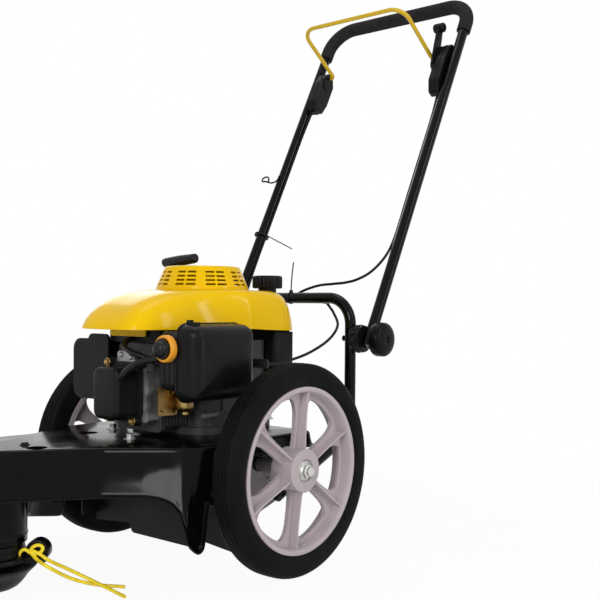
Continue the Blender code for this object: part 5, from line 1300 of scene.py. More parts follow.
@dataclass
class TrimmerHead:
    """Spindle housing, head plate with four posts, and the bowl foot."""

    ring_r: float = .076
    plate_low: float = .044
    plate_t: float = .012

    def housing(self, bench: Bench) -> Piece:
        """Bearing housing with its collar and flange."""
        body = bench.bored("housing", [
            (.0745, .0104), (.0745, .052), (.0752, .054), (.0765, .055), (.156, .055), (.159, .056),
            (.16, .059), (.16, .07), (.164, .0706), (.164, .026), (.178, .024), (.178, .0104),
        ], HEAD)
        collar = bench.bored("collar", [
            (.086, .0548), (.0864, .0558), (.0896, .0558), (.09, .0548),
        ], HEAD)
        return bench.joined(body, collar)

    def head(self, bench: Bench) -> Piece:
        """Head plate, and four ears that each carry a round line guide."""
        low, top = self.plate_low, self.plate_low + self.plate_t
        plate = bench.bored("head_plate", [
            (low, .0073), (low, .056),
            *offset(low, (.001, .059), (.003, .0612), (.005, .062)),
            *offset(top, (-.004, .062), (-.0015, .061), (0, .0585), (.0004, .053),
                    (.008, .0526), (.0086, .0516), (.0176, .0512), (.018, .0505),
                    (.018, .0073)),
        ], HEAD)
        ear = bench.plate("ear", rounded([
            (.04, -.021), (.07, -.0135), (.0885, -.009), (.0885, .009), (.07, .0135), (.04, .021),
        ], (.002, .006, .007, .007, .006, .002), 5), Plane.XY, low + .001, top - .002,
            .0018, 3)
        post = bench.turned("post", [
            (-.0095, .0105), (-.012, .0125), (-.012, .016), (-.0114, .0174), (-.0098, .0182),
            (.0098, .0182), (.0114, .0174), (.012, .016), (.012, .0125), (.0095, .0105),
        ], (self.ring_r, 0, .063), Axis.Y, 40)
        ear = bench.joined(ear, post)
        spot = Matrix.Translation(HEAD)
        arms = [
            bench.copied(ear, f"ear_{k}", spot @ Matrix.Rotation(radians(HEAD_TURN + 90 * k), 4, "Z"))
            for k in range(4)
        ]
        bpy.data.objects.remove(ear, do_unlink=True)
        return bench.joined(plate, *arms)

    def foot(self, bench: Bench) -> Piece:
        """Bowl foot with a rolled rim."""
        return bench.turned("foot_bowl", [
            (0, .023), (.0002, .026), (.0012, .031), (.0032, .0368), (.0066, .0426), (.012, .0482),
            (.018, .053), (.0235, .0566), (.0265, .0594), (.0325, .0654), (.0368, .0699),
            (.0388, .0707), (.04, .0696), (.0396, .0678), (.038, .0668), (.031, .06), (.021, .05),
            (.012, .042), (.008, .0362), (.005, .025), (.005, .016), (.008, .014), (.0414, .013),
        ], HEAD, Axis.Z, 96)

    def spring(self, bench: Bench) -> Piece:
        """Tension spring of the idler."""
        ends = (-.108, -.066, .2097), (-.1215, .0256, .2085)
        return bench.spring("tension_spring", *ends, 12)

    def build(self, bench: Bench) -> None:
        """Build the head's pieces and dress the drive under the deck."""
        bench.fit(
            (self.housing, GLOSS_BLACK, "spindle_housing"),
            (self.head, SATIN_BLACK, "trimmer_head", "head"),
            (self.foot, MOULDED_BLACK, "mow_ball", "foot"),
            (self.spring, BRIGHT_ZINC, "idler_spring"),
        )
        bench.keep(BRIGHT_ZINC, "spindle", "crankshaft")
        bench.keep(SOFT_RUBBER, "drive_belt")
        bench.keep(GOLD_ZINC, "idler_arm")
        bench.keep(MOULDED_BLACK, "idler_roller")


# Engine


@dataclass
class Engine:
    """Crankcase, finned barrel, head, valve cover, muffler, filter, tank and small gear."""

    half: float = .088
    front: float = -.078
    rear: float = .092
    base: float = .2293
    top: float = .388
    barrel_front: float = -.128
    barrel: tuple[float, ...] = (-.056, .056, .24, .385)
    head_t: float = .022
    plate_y: float = -.165
    plug_z: float = .345
    cover: tuple[float, ...] = (-.0335, .032, .26, .3475)
    cover_front: float = -.215
    bosses: tuple[Point2, ...] = (
        (-.0385, .353), (-.04, .259), (.0265, .257), (.04, .3535))
    filter_box: tuple[float, ...] = (-.184, -.0335, .296, .421)
    seam: float = .137
    filter_out: float = .178
    primer: Point2 = (.122, .3815)
    cap: Point3 = (.055, .124, .483)
    cap_top: float = .507

    @property
    def head_y(self) -> float:
        """Where the fins of the cylinder head start."""
        return self.barrel_front - TOUCH - self.head_t

    def block(self, bench: Bench) -> Piece:
        """Crankcase on its flange, with seven deep fins on the barrel."""
        base, start = self.base, self.barrel_front
        outline = rounded(rectangle(-self.half, self.half, self.front, self.rear), .022, 8)
        case = bench.plate("crankcase", outline, Plane.XY, base + .011, self.top, .008, 4)
        flange = bench.plate(
            "flange", grown(outline, .012), Plane.XY, base, base + .0125, .002)
        rib = bench.plate("case_rib", grown(outline, .0015), Plane.XY, .316, .3205, .0012)
        for part in (case, flange, rib):
            bench.cut(part, bench.drill(.0116, .2, .44, (0, CRANK_Y, 0)))
        full = rounded(rectangle(*self.barrel), .012, 5)
        core = bench.plate(
            "barrel_core", grown(full, -.009), Plane.XZ, start + .0004, self.front + .004)
        pitch = (self.front - start) / 7
        fin = bench.plate("fin", full, Plane.XZ, start + .0002, start + .003, .0007)
        fins = [
            bench.copied(fin, f"fin_{k}", Matrix.Translation((0, pitch * k, 0)))
            for k in range(1, 7)
        ]
        return bench.joined(case, flange, rib, core, fin, *fins)

    def head(self, bench: Bench) -> Piece:
        """Cylinder head: a scalloped grey plate with two studs."""
        y = self.plate_y
        plate = bench.plate("head_plate", rounded([
            (-.05, .256), (.044, .2545), (.051, .258), (.0515, .268), (.046, .278), (.0455, .296),
            (.052, .308), (.05, .325), (.045, .34), (.05, .358), (-.042, .358), (-.052, .338),
        ], .005, 4), Plane.XZ, y, self.head_y + .01, .0015, 3)
        port = bench.slab("exhaust_port", (-.03, .014, .348, .372), .006, 4, Plane.XZ,
                          y + .001, self.head_y + .014, .002, 3)
        nuts = [
            bench.bolt("port_nut", (x, y + .001, z), Axis.Y, .0046, .004, -1)
            for x, z in ((-.02, .366), (.006, .362))
        ]
        return bench.joined(plate, port, *nuts)

    def head_fins(self, bench: Bench) -> Piece:
        """Dark fins round the head, behind its plate, with the plug boss."""
        outline = rounded(rectangle(-.056, .056, .236, .385), .01, 5)
        y, rear = self.head_y, self.barrel_front - TOUCH
        parts = [
            bench.plate("head_fin", outline, Plane.XZ, y + low, y + high, .0009)
            for low, high in ((.0105, .013), (.016, .0185))
        ]
        parts.append(bench.turned("plug_boss", [
            (-.002, .0098), (.01, .0094), (.0112, .009), (.012, .008),
        ], (.056, (y + rear) / 2, self.plug_z), Axis.X, 32))
        core = bench.plate("head_core", grown(outline, -.005), Plane.XZ, y + .0098, rear, .001)
        return bench.joined(core, *parts)

    def valve_cover(self, bench: Bench) -> Piece:
        """Rounded valve cover with four bosses, its front left bare."""
        rear, front, round_r = self.plate_y - TOUCH, self.cover_front, .008
        shape = rounded(rectangle(*self.cover), .015, 8)
        flange = bench.plate(
            "cover_flange", grown(shape, .007), Plane.XZ, rear - .0055, rear, .0014, 3)
        loops = [at_level(shape, rear - .004, Plane.XZ), *at_levels(
            shape, Plane.XZ, (-.0002, front + .012), *(
                (-(.0004 + round_r * (1 - cos(a))), front + round_r * (1 - sin(a)))
                for a in (pi / 2 * k / 6 for k in range(7))
            ),
        )]
        body = bench.skinned("valve_cover", loops, first=True, last=True)
        bosses = [
            bench.turned("cover_boss", [
                (0, .009), (-.0085, .008), (-.0112, .0076), (-.0121, .0068),
            ], (x, rear, z), Axis.Y, 32)
            for x, z in self.bosses
        ]
        return bench.joined(body, flange, *bosses)

    def exhaust(self, bench: Bench) -> Piece:
        """Muffler: a soft-edged box with its seam, a guard and a stub pipe."""
        outline = rounded(rectangle(-.165, -.066, .283, .39), .02, 8)
        box = bench.plate("muffler_box", outline, Plane.XZ, -.155, -.084, .013, 6)
        seam = bench.plate("muffler_seam", grown(outline, .0022), Plane.XZ, -.114, -.11)
        guard = bench.slab("muffler_guard", (-.118, -.062, .3, .3994), .012, 6, Plane.XZ,
                           -.1585, -.1535, .0018, 3)
        stub = bench.turned(
            "stub", [(-.004, .011), (-.0097, .011)], (-.066, -.1393, .33), Axis.X, 32)
        return bench.joined(box, seam, guard, stub)

    def filter_base(self, bench: Bench) -> Piece:
        """Back plate of the air filter, with ribs and its inlet."""
        front, rear, low, high = self.filter_box
        outline = rounded(rectangle(front - .002, rear - .004, low + .018, high - .012), .014, 7)
        return bench.joined(*(
            bench.plate(f"filter_base_{name}", grown(outline, out), Plane.YZ, *levels)
            for name, out, levels in (
                ("body", 0, (.104, self.seam - TOUCH, .004, 4)), ("back", -.006, (.1, .106, .002)),
                ("rib", .001, (.112, .112 + .0022)), ("rib", .001, (.1225, .1225 + .0022)),
            )
        ))

    def filter_cover(self, bench: Bench) -> Piece:
        """Crowned filter cover with its rim, and the latch over its top edge."""
        front, rear, low, high = self.filter_box
        outline = rounded(rectangle(front, rear, low, high), .021, 10)
        seam, depth = self.seam, self.filter_out - self.seam
        loops = at_levels(outline, Plane.YZ, *((-inset, seam + depth * along) for along, inset in (
            (0, 0), (.1, .0001), (.2, .0004), (.3, .0008), (.42, .0014), (.54, .0022), (.64, .0033),
            (.73, .0049), (.8, .0068), (.86, .009), (.91, .0113), (.95, .0139), (.98, .0166),
            (1.0, .0195),
        )))
        middle, last = Vector((0, (front + rear) / 2, (low + high) / 2)), loops[-1]
        for share, rise in ((.86, .001), (.66, .0019), (.44, .0025), (.22, .0029)):
            ring = [middle + (point - middle) * share for point in last]
            loops.append([Vector((self.filter_out + rise, spot.y, spot.z)) for spot in ring])
        cover = bench.skinned("filter_cover", loops, last=True)
        bench.wall(cover, (1, 0, 0))
        rim = bench.skinned("filter_rim", at_levels(outline, Plane.YZ, *(
            (out, seam + along) for out, along in (
                (-.0016, .0004), (.0011, .0004), (.0015, .001), (.0015, .0036), (.001, .0042),
                (-.0016, .0042), (-.0016, .0004))
        )))
        latch = bench.slab("latch", (.14, .16, -.166, -.15), .003, 5, Plane.XY,
                           high - .003, high + .0028, .0014, 3)
        hook = bench.slab("latch_hook", (.14, .145, -.164, -.152), .0015, 4, Plane.XY,
                          high + .0015, high + .0062, .001)
        return bench.joined(cover, rim, latch, hook)

    def primers(self, bench: Bench) -> None:
        """Primer bulb and the ring that frames it."""
        base = self.filter_box[0] - .002 - TOUCH
        face = base - .0105
        x, z = self.primer
        ring = bench.bored("primer_frame", [
            *offset(face, (0, .017), (-.0004, .0176), (-.0004, .0198), (.0004, .021),
                    (.002, .0217), (.004, .0219)),
            (base, .0219), (base, .0168), (face + .001, .0168),
        ], (x, 0, z), Axis.Y, 64)
        bench.dress(ring, PRIMER_ORANGE, "primer_ring")
        shoulder, back, dome_r = face - .0075, base - .0086, .0132
        bulb = bench.turned("primer_dome", [
            (back, .0156), (back - .001, .016),
            *offset(face, (-.001, .0162), (-.0045, .0164), (-.0055, .0156), (-.006, .0136)),
            (shoulder, dome_r), *(
                (shoulder - .0095 * sin(a), dome_r * cos(a))
                for a in (radians(90 * k / 12) for k in range(1, 12))
            ),
        ], (x, 0, z), Axis.Y, 48)
        bench.dress(bulb, SOFT_RUBBER, "primer_bulb", body="primer")

    def plug_lead(self, bench: Bench) -> Piece:
        """Plug boot with its grip rings, and the lead to the coil."""
        y, z = self.barrel_front - TOUCH - self.head_t / 2, self.plug_z
        start = .056 + .012 + TOUCH
        boot = bench.turned("plug_boot", offset(
            start, (0, .006), (.002, .0072), (.005, .008), (.008, .008), (.009, .0074),
            (.01, .008), (.013, .008), (.014, .0074), (.015, .008), (.02, .008),
            (.0225, .007), (.024, .0052),
        ), (0, y, z), Axis.X, 40)
        lead = bench.routed("plug_wire", (
            (start + .016, y, z), (start + .012, y - .018, .352), (.052, -.18, .366),
            (.026, -.184, .374), (.002, -.176, .382), (-.006, -.16, .391), (-.006, -.145, .3945),
            (-.006, -.12, .3965), (-.004, -.092, .3985),
        ), .005, 5, 8)
        return bench.joined(boot, lead)

    def tank(self, bench: Bench) -> Piece:
        """Fuel tank with its neck."""
        outline = rounded(rectangle(-.09, .104, self.rear + TOUCH, .148), .01, 6)
        body = bench.plate("tank_body", outline, Plane.XY, .322, .4022, .006, 4)
        saddle = bench.plate("tank_saddle", grown(outline, -.006), Plane.XY, .4, .406, .001, 1)
        neck = bench.bored("tank_neck", [
            (.398, .017), (.5, .017), (.5, .014), (.398, .014),
        ], (*self.cap[:2], 0), Axis.Z, 48)
        return bench.joined(body, saddle, neck)

    def fuel_cap(self, bench: Bench) -> Piece:
        """The ribbed cap of the tank."""
        x, y, low = self.cap
        top = self.cap_top
        cap = bench.skinned("cap_body", [
            [Vector((x + u, y + v, height)) for u, v in toothed(radius, depth, 22, .3)]
            for radius, depth, height in (
                (.0262, .0006, low), (.0278, .0016, low + .0012), (.0285, .0018, low + .003),
                (.0285, .0018, top - .0045), (.0279, .0012, top - .0022),
                (.0268, .0003, top - .0007), (.0255, 0, top), (.0215, 0, top),
                (.0205, 0, top - .0009), (.008, 0, top - .0009))
        ], first=True, last=True, smooth=28)
        return bench.cut(cap, bench.drill(.0174, .47, .5003, (x, y, 0)))

    def fittings(self, bench: Bench) -> None:
        """Carburettor bowl and bracket, breather hose, springs and bolts."""
        gold = [
            bench.turned("carb_bowl", [
                (.2715, .006), (.2717, .0085), (.2735, .0115), (.277, .0138), (.2805, .0146),
                (.29, .0146), (.2907, .0166), (.295, .0166), (.2955, .015), (.32, .0146),
            ], (.081, -.11, 0), Axis.Z, 40),
            bench.bolt("bowl_bolt", (.081, -.11, .2717), Axis.Z, .0055, .0055, -1),
            bench.plate("linkage_plate", rounded([
                (-.156, .266), (-.114, .266), (-.114, .306), (-.124, .316), (-.156, .316),
            ], .004, 4), Plane.YZ, .064, .0658, .0004, 1),
            bench.bolt("plate_screw", (.0658, -.146, .276), Axis.X, .004, .003),
            bench.bolt("plate_screw", (.0658, -.126, .304), Axis.X, .004, .003),
            bench.swept(
                "plate_foot", [Vector((x, -.14, .29)) for x in (.056, .06, .0645)], .004, 4),
        ]
        gold += [
            bench.bolt("cover_bolt", (x, self.plate_y - TOUCH - .0121, z), Axis.Y, .005, .0042,
                       -1, .0068)
            for x, z in self.bosses
        ]
        bench.dress(bench.joined(*gold), GOLD_ZINC, name="gold_fittings")
        hose = bench.routed("breather_hose", (
            (.026, -.205, .33), (.034, -.2055, .334), (.045, -.204, .344), (.0615, -.2, .3545),
            (.08, -.196, .361), (.103, -.1885, .3655),
        ), .0062, 5, 8)
        bench.dress(hose, SOFT_RUBBER)
        shroud = bench.slab(
            "air_shroud", (-.074, .06, -.15, -.08), .01, 4, Plane.XY, .3865, .413, .002)
        bench.dress(shroud, MOULDED_BLACK)
        x = self.half + TOUCH + .005
        spring = bench.spring("small_spring", (x, -.082, .262), (x, -.046, .262), 9)
        bench.dress(spring, GREY_PLATE_AND_PAINTED_LIGHT, "governor_spring")
        rods = [bench.routed("throttle_rod", route, .0014, 3) for route in (
            ((.096, .003, .39), (.0962, .004, .375), (.0962, .004, .356), (.0962, .001, .348)),
            ((.095, -.028, .356), (.0955, -.01, .354), (.0955, .02, .355)),
        )]
        bench.dress(bench.joined(*rods), GOLD_ZINC, name="throttle_rods")
        bolts = [
            bench.bolt("flange_bolt", (sx * .09, .092, self.base + .0125), Axis.Z, .0055,
                       .005, 1, .0085)
            for sx in (1, -1)
        ] + [
            bench.bolt("plate_bolt", (self.half + .0028, y, z), Axis.X, .005, .004, 1, .0072)
            for y, z in ((-.016, .338), (.036, .284))
        ]
        bench.dress(bench.joined(*bolts), BRIGHT_ZINC, name="engine_bolts")

    def build(self, bench: Bench) -> None:
        """Build and dress the whole engine."""
        bench.fit(
            (self.block, DARK_CAST, "engine_block"),
            (self.head, CAST_ALLOY, "cylinder_head"),
            (self.head_fins, DARK_CAST, ""),
            (self.valve_cover, MOULDED_BLACK, "rocker_cover"),
        )
        bench.dress(self.exhaust(bench), SATIN_BLACK, "muffler", slot="black_paint")
        bench.fit(
            (self.filter_base, MOULDED_BLACK, "air_filter_base"),
            (self.filter_cover, SATIN_BLACK, "air_filter_cover"),
            (self.plug_lead, SOFT_RUBBER, "spark_plug_lead"),
        )
        self.primers(bench)
        bench.fit(
            (self.tank, MOULDED_BLACK, "fuel_tank"),
            (self.fuel_cap, SATIN_BLACK, "fuel_cap", "fuel_cap"),
        )
        self.fittings(bench)
        bench.keep(CAST_ALLOY, "carburettor", "flywheel")
        bench.keep(MOULDED_BLACK, "oil_cap")
        bench.keep(DARK_CAST, "control_plate")
        bench.keep(SATIN_BLACK, "control_lever")


@dataclass
class Starter:
    """Blower cowl, slotted starter cover and the T-shaped grip."""

    edge: float = .41
    crown: float = .478
    front: float = -.221
    rear: float = .152
    half: float = .126
    mouth: float = .066
    base_r: float = .084
    top_r: float = .07
    lid: float = .521
    rows: int = 4
    pairs: int = 9
    grip: Point3 = (-.029, -.022, .5318)
    grip_half: float = .043

    def reach(self, angle: float) -> float:
        """Distance from the crankshaft to the cowl's lower edge in one direction."""
        dx, dy = cos(angle), sin(angle)
        power = 5.0
        half_y = (self.rear - CRANK_Y) if dy > 0 else (CRANK_Y - self.front)
        taper = 1.0 if dy > 0 else 1.0 - .28 * min(1.0, abs(dy) * 1.1)
        return 1.0 / (
            (abs(dx) / (self.half * taper)) ** power + (abs(dy) / half_y) ** power
        ) ** (1 / power)

    def cowl(self, bench: Bench) -> Piece:
        """The cowl: crowned, falling to the front, and steep at its lower edge."""
        sides, steps = 144, 30
        loops = []
        for t in (1.0 - (1.0 - k / steps) ** 2 for k in range(steps + 1)):
            loop = []
            for angle in (2 * pi * k / sides for k in range(sides)):
                reach = self.reach(angle)
                low = self.edge - .007 * max(0, sin(angle))
                power = 5.5 - 3.6 * max(0, -sin(angle)) ** 1.5
                flat = max(0, (self.base_r + .002 - self.mouth) / (reach - self.mouth))
                rise = min(1.0, max(0, (t - flat) / (1.0 - flat)))
                height = low + (self.crown - low) * (1.0 - rise ** power) ** .625
                radius = self.mouth + (reach - self.mouth) * t
                loop.append((radius * cos(angle), CRANK_Y + radius * sin(angle), height))
            loops.append(loop)
        cowl = bench.skinned("cowl_shell", loops, smooth=50)
        bench.wall(cowl, (0, 0, 1))
        bench.cut(cowl, bench.drill(.0185, .42, .52, (.055, .124, 0)))
        return bench.joined(cowl, bench.slab(
            "cowl_tab", (-.056, .034, .397, .4135), .004, 3, Plane.XZ, -.158, -.155))

    def cover(self, bench: Bench) -> Piece:
        """Starter cover: a short cone with four rows of paired slots, and a stepped lid."""
        period = 16
        columns, rows = period * self.pairs, 2 * self.rows + 1
        base_z = self.crown + TOUCH
        low, high = base_z + .004, self.lid - .006
        turn, step = 2 * pi / columns, (high - low) / rows
        levels = [(self.base_r, base_z)]
        for share in (row / rows for row in range(rows + 1)):
            radius = self.base_r - (self.base_r - self.top_r) * share
            levels.append((radius, low + (high - low) * share))
        levels.append((self.top_r - .0008, high + .0026))
        levels += [(self.top_r - inward, self.lid - down) for inward, down in (
            (.0024, .0014), (.005, .0004), (.0085, 0), (.0165, 0), (.018, .0012), (.04, .0012),
            (.041, .0004), (.058, .0001),
        )]
        loops = [[(*spot, z) for spot in circle(0, CRANK_Y, r, columns)] for r, z in levels]
        cover = bench.skinned("starter_cover", loops, last=True, smooth=32)

        def slot(face: bpy.types.MeshPolygon) -> bool:
            """True for a face that lies in one of the slots."""
            x, y, z = face.center
            row = floor((z - low) / step)
            column = floor(atan2(y - CRANK_Y, x) % (2 * pi) / turn) % period
            return 0 <= row < rows and row % 2 == 1 and column < 11 and column != 5 and z < high

        with bench.choosing(cover, "FACE", cover.data.polygons, slot):
            bpy.ops.mesh.delete(type="FACE")
        return bench.wall(cover, (0, 0, 1))

    def handle(self, bench: Bench) -> Piece:
        """T-shaped grip: a waisted bar with a ridge at each end, and its stem."""
        x, y, z = self.grip
        stations = (
            (-1.0, .004, .004), (-.992, .0058, .0058), (-.97, .0074, .0074), (-.93, .0086, .0086),
            (-.84, .009, .0091), (-.66, .009, .0094), (-.44, .0091, .0098), (-.22, .0093, .01),
            (0, .0094, .0101), (.22, .0093, .01), (.44, .0091, .0098), (.66, .009, .0094),
            (.84, .009, .0091), (.93, .0086, .0086), (.97, .0074, .0078), (.992, .0058, .0058),
            (1.0, .004, .004),
        )
        bar = bench.skinned("grip_bar", [
            [(x + along * self.grip_half, y + u * wide, z + v * tall) for u, v in circle(0, 0, 1.0)]
            for along, wide, tall in stations
        ], first=True, last=True, smooth=60)
        spot = Matrix.Translation((x, y, z))
        bar.data.transform(spot @ Matrix.Rotation(radians(-4.5), 4, "Y") @ spot.inverted())
        stem = bench.turned("grip_stem", [
            *offset(self.lid, (TOUCH, .007), (.003, .007), (.006, .0074)), (z, .008),
        ], (x, y, 0), Axis.Z, 32)
        return bench.joined(bar, stem)

    def build(self, bench: Bench) -> None:
        """Build cowl, cover and grip."""
        bench.fit(
            (self.cowl, GLOSS_YELLOW, "cowl"),
            (self.cover, GLOSS_YELLOW, "recoil_cover"),
            (self.handle, GLOSS_BLACK_PLASTIC, "starter_grip", "starter"),
        )


# Handle and controls


@dataclass
class Handle:
    """Handle tube with its foam, the frame below it, and the two clamps."""

    grip_r: float = .0155
    grip_leg: float = .081
    bend_r: float = .06
    tail: float = .016
    frame_x: float = .1465
    frame_top: float = .4667
    frame_foot: Point2 = (.05, .113)
    elbow: float = .205
    frame_bend: float = .052
    stud_r: float = .004
    knob_out: float = .2345
    index_r: float = .0265
    teeth: int = 14
    tie_x: float = -.006

    def hole(self, bench: Bench, low: float, high: float, at: Point3 = PIVOT) -> Piece:
        """Drill for a stud, from low to high along its axis."""
        return bench.drill(self.stud_r + .0004, low, high, at, Axis.X, 32)

    def drilled(self, bench: Bench, obj: Piece, x: float) -> Piece:
        """Drill the stud holes through both feet of a tube."""
        return bench.cut(obj, *[
            self.hole(bench, -.02, .02, (side * x, PIVOT_Y, PIVOT_Z)) for side in (1, -1)
        ])

    def loop(self, x: float, ends: Sequence[Point2], radius: float, steps: int) -> list[Vector]:
        """A tube's path up the left side and down the right, through (y, z) corners."""
        left = [(x, y, z) for y, z in ends]
        return bend([*left, *((-x, y, z) for y, z in reversed(ends))], radius, steps)

    def bar(self, bench: Bench) -> Piece:
        """Handle tube."""
        foot = Vector(PIVOT) - leg_direction() * self.tail
        path = self.loop(HANDLE_X, [(foot.y, foot.z), HANDLE_TOP], self.bend_r, 22)
        return self.drilled(bench, bench.swept("handle_bar", path, TUBE_R, 10), HANDLE_X)

    def foam(self, bench: Bench) -> Piece:
        """Foam sleeve with a rounded bead at each end."""
        top_y, top_z = HANDLE_TOP
        reach = leg_direction() * self.grip_leg
        ends = [(top_y - reach.y, top_z - reach.z), HANDLE_TOP]
        path = self.loop(HANDLE_X, ends, self.bend_r, 22)
        sleeve = bench.swept("foam_sleeve", path, self.grip_r, 10)
        for end in (path[0], path[-1]):
            bead = bench.turned("foam_end", [
                (-.0012, .014), (-.0004, .0151), (.001, .0155), (.003, .0154),
            ], (0, 0, 0), Axis.Z, 44)
            bead.data.transform(leg_turn(end))
            sleeve = bench.joined(sleeve, bead)
        return sleeve

    def frame(self, bench: Bench) -> Piece:
        """Bent tube below the handle."""
        corners = [self.frame_foot, (PIVOT_Y, self.elbow), (PIVOT_Y, self.frame_top)]
        path = self.loop(self.frame_x, corners, self.frame_bend, 14)
        return self.drilled(bench, bench.swept("frame_bar", path, TUBE_R, 10), self.frame_x)

    def index_plate(self, bench: Bench) -> Piece:
        """Toothed boss of the left clamp."""
        start = self.frame_x + TUBE_R + TOUCH
        end = HANDLE_X - TUBE_R - TOUCH
        plate = bench.skinned("index_boss", [
            [(x, PIVOT_Y + u, PIVOT_Z + v)
             for u, v in toothed(self.index_r + out, depth, self.teeth, .5)]
            for x, out, depth in (
                (start, -.0025, 0), (start + .0008, -.0012, 0), (start + .0066, -.0004, 0),
                (start + .0072, -.0016, 0), (start + .008, -.0016, 0),
                (start + .0084, .0008, .0022), (start + .009, .0012, .0022),
                (start + .015, .0012, .0022), (start + .0157, .0006, .0022),
                (start + .0162, -.0012, 0), (end - .001, -.0006, 0), (end, -.0016, 0))
        ], first=True, last=True, smooth=25)
        return bench.cut(plate, self.hole(bench, start - .01, end + .01))

    def knob(self, bench: Bench) -> Piece:
        """Domed clamp knob of the left side, with its stud and inner nut."""
        seat, inner = HANDLE_X + TUBE_R + TOUCH, self.frame_x - TUBE_R
        knob = bench.turned("knob_body", [
            (inner - TOUCH, self.stud_r),
            *offset(seat, (0, self.stud_r), (0, .012), (.0035, .0136), (.005, .026),
                    (.0062, .03), (.008, .0318), (.01, .0324)),
            *offset(self.knob_out, (-.0085, .0323), (-.0062, .0314), (-.0042, .0296),
                    (-.0026, .027), (-.0012, .0228), (-.0004, .018), (0, .012),
                    (0, .0072), (-.0006, .0062), (-.0028, .0052), (-.0032, .003)),
        ], PIVOT, Axis.X, 72)
        nut = bench.turned("knob_nut", offset(
            inner, (-.006, .0054), (-.0052, .0062), (-TOUCH, .0062)), PIVOT, Axis.X, 6)
        return bench.joined(knob, nut)

    def band(self, bench: Bench, radius: float, at: Point3, axis: Axis) -> Piece:
        """Band of a cable tie."""
        return bench.bored("tie_band", [
            (-.0019, .0113), (-.0019, radius), (.0019, radius), (.0019, .0113),
        ], at, axis, 40)

    def ties(self, bench: Bench) -> None:
        """Two cable ties with long tails."""
        x, top = self.tie_x, self.frame_top
        band = self.band(bench, .0125, (x, PIVOT_Y, top), Axis.X)
        head = bench.slab("tie_head", (-.009, -.003, PIVOT_Y - .003, PIVOT_Y + .003), .001, 3,
                          Plane.XY, top + .0112, top + .0162, .0007)
        tail = bench.routed("tie_tail", (
            (x, PIVOT_Y, top + .014), (-.005, PIVOT_Y, .5), (-.0028, PIVOT_Y, .52),
            (0, PIVOT_Y, .54),
        ), .0013, 2)
        bench.dress(bench.joined(band, head, tail), MOULDED_BLACK, name="frame_tie")
        band = self.band(bench, .0168, (0, 0, 0), Axis.Z)
        band.data.transform(leg_turn(leg_point(-1, .6086)))
        tail = bench.routed("tie_tail", (
            (-.1795, .378, .612), (-.18, .4, .605), (-.1808, .438, .5945), (-.181, .4745, .584),
        ), .0013, 2)
        bench.dress(bench.joined(band, tail), MOULDED_BLACK, body="handle", name="leg_tie")

    def build(self, bench: Bench) -> None:
        """Build tubes, clamps and ties."""
        bench.fit(
            (self.bar, TUBE_PAINT, "handle_tube", "handle"),
            (self.foam, GRIP_FOAM, "grip_foam", "handle"),
            (self.frame, TUBE_PAINT, "handle_frame"),
        )
        bench.pair(self.index_plate, MOULDED_BLACK, "index_plate")
        bench.pair(self.knob, KNOB_PLASTIC, "clamp_knob", "knob_{side}")
        self.ties(bench)


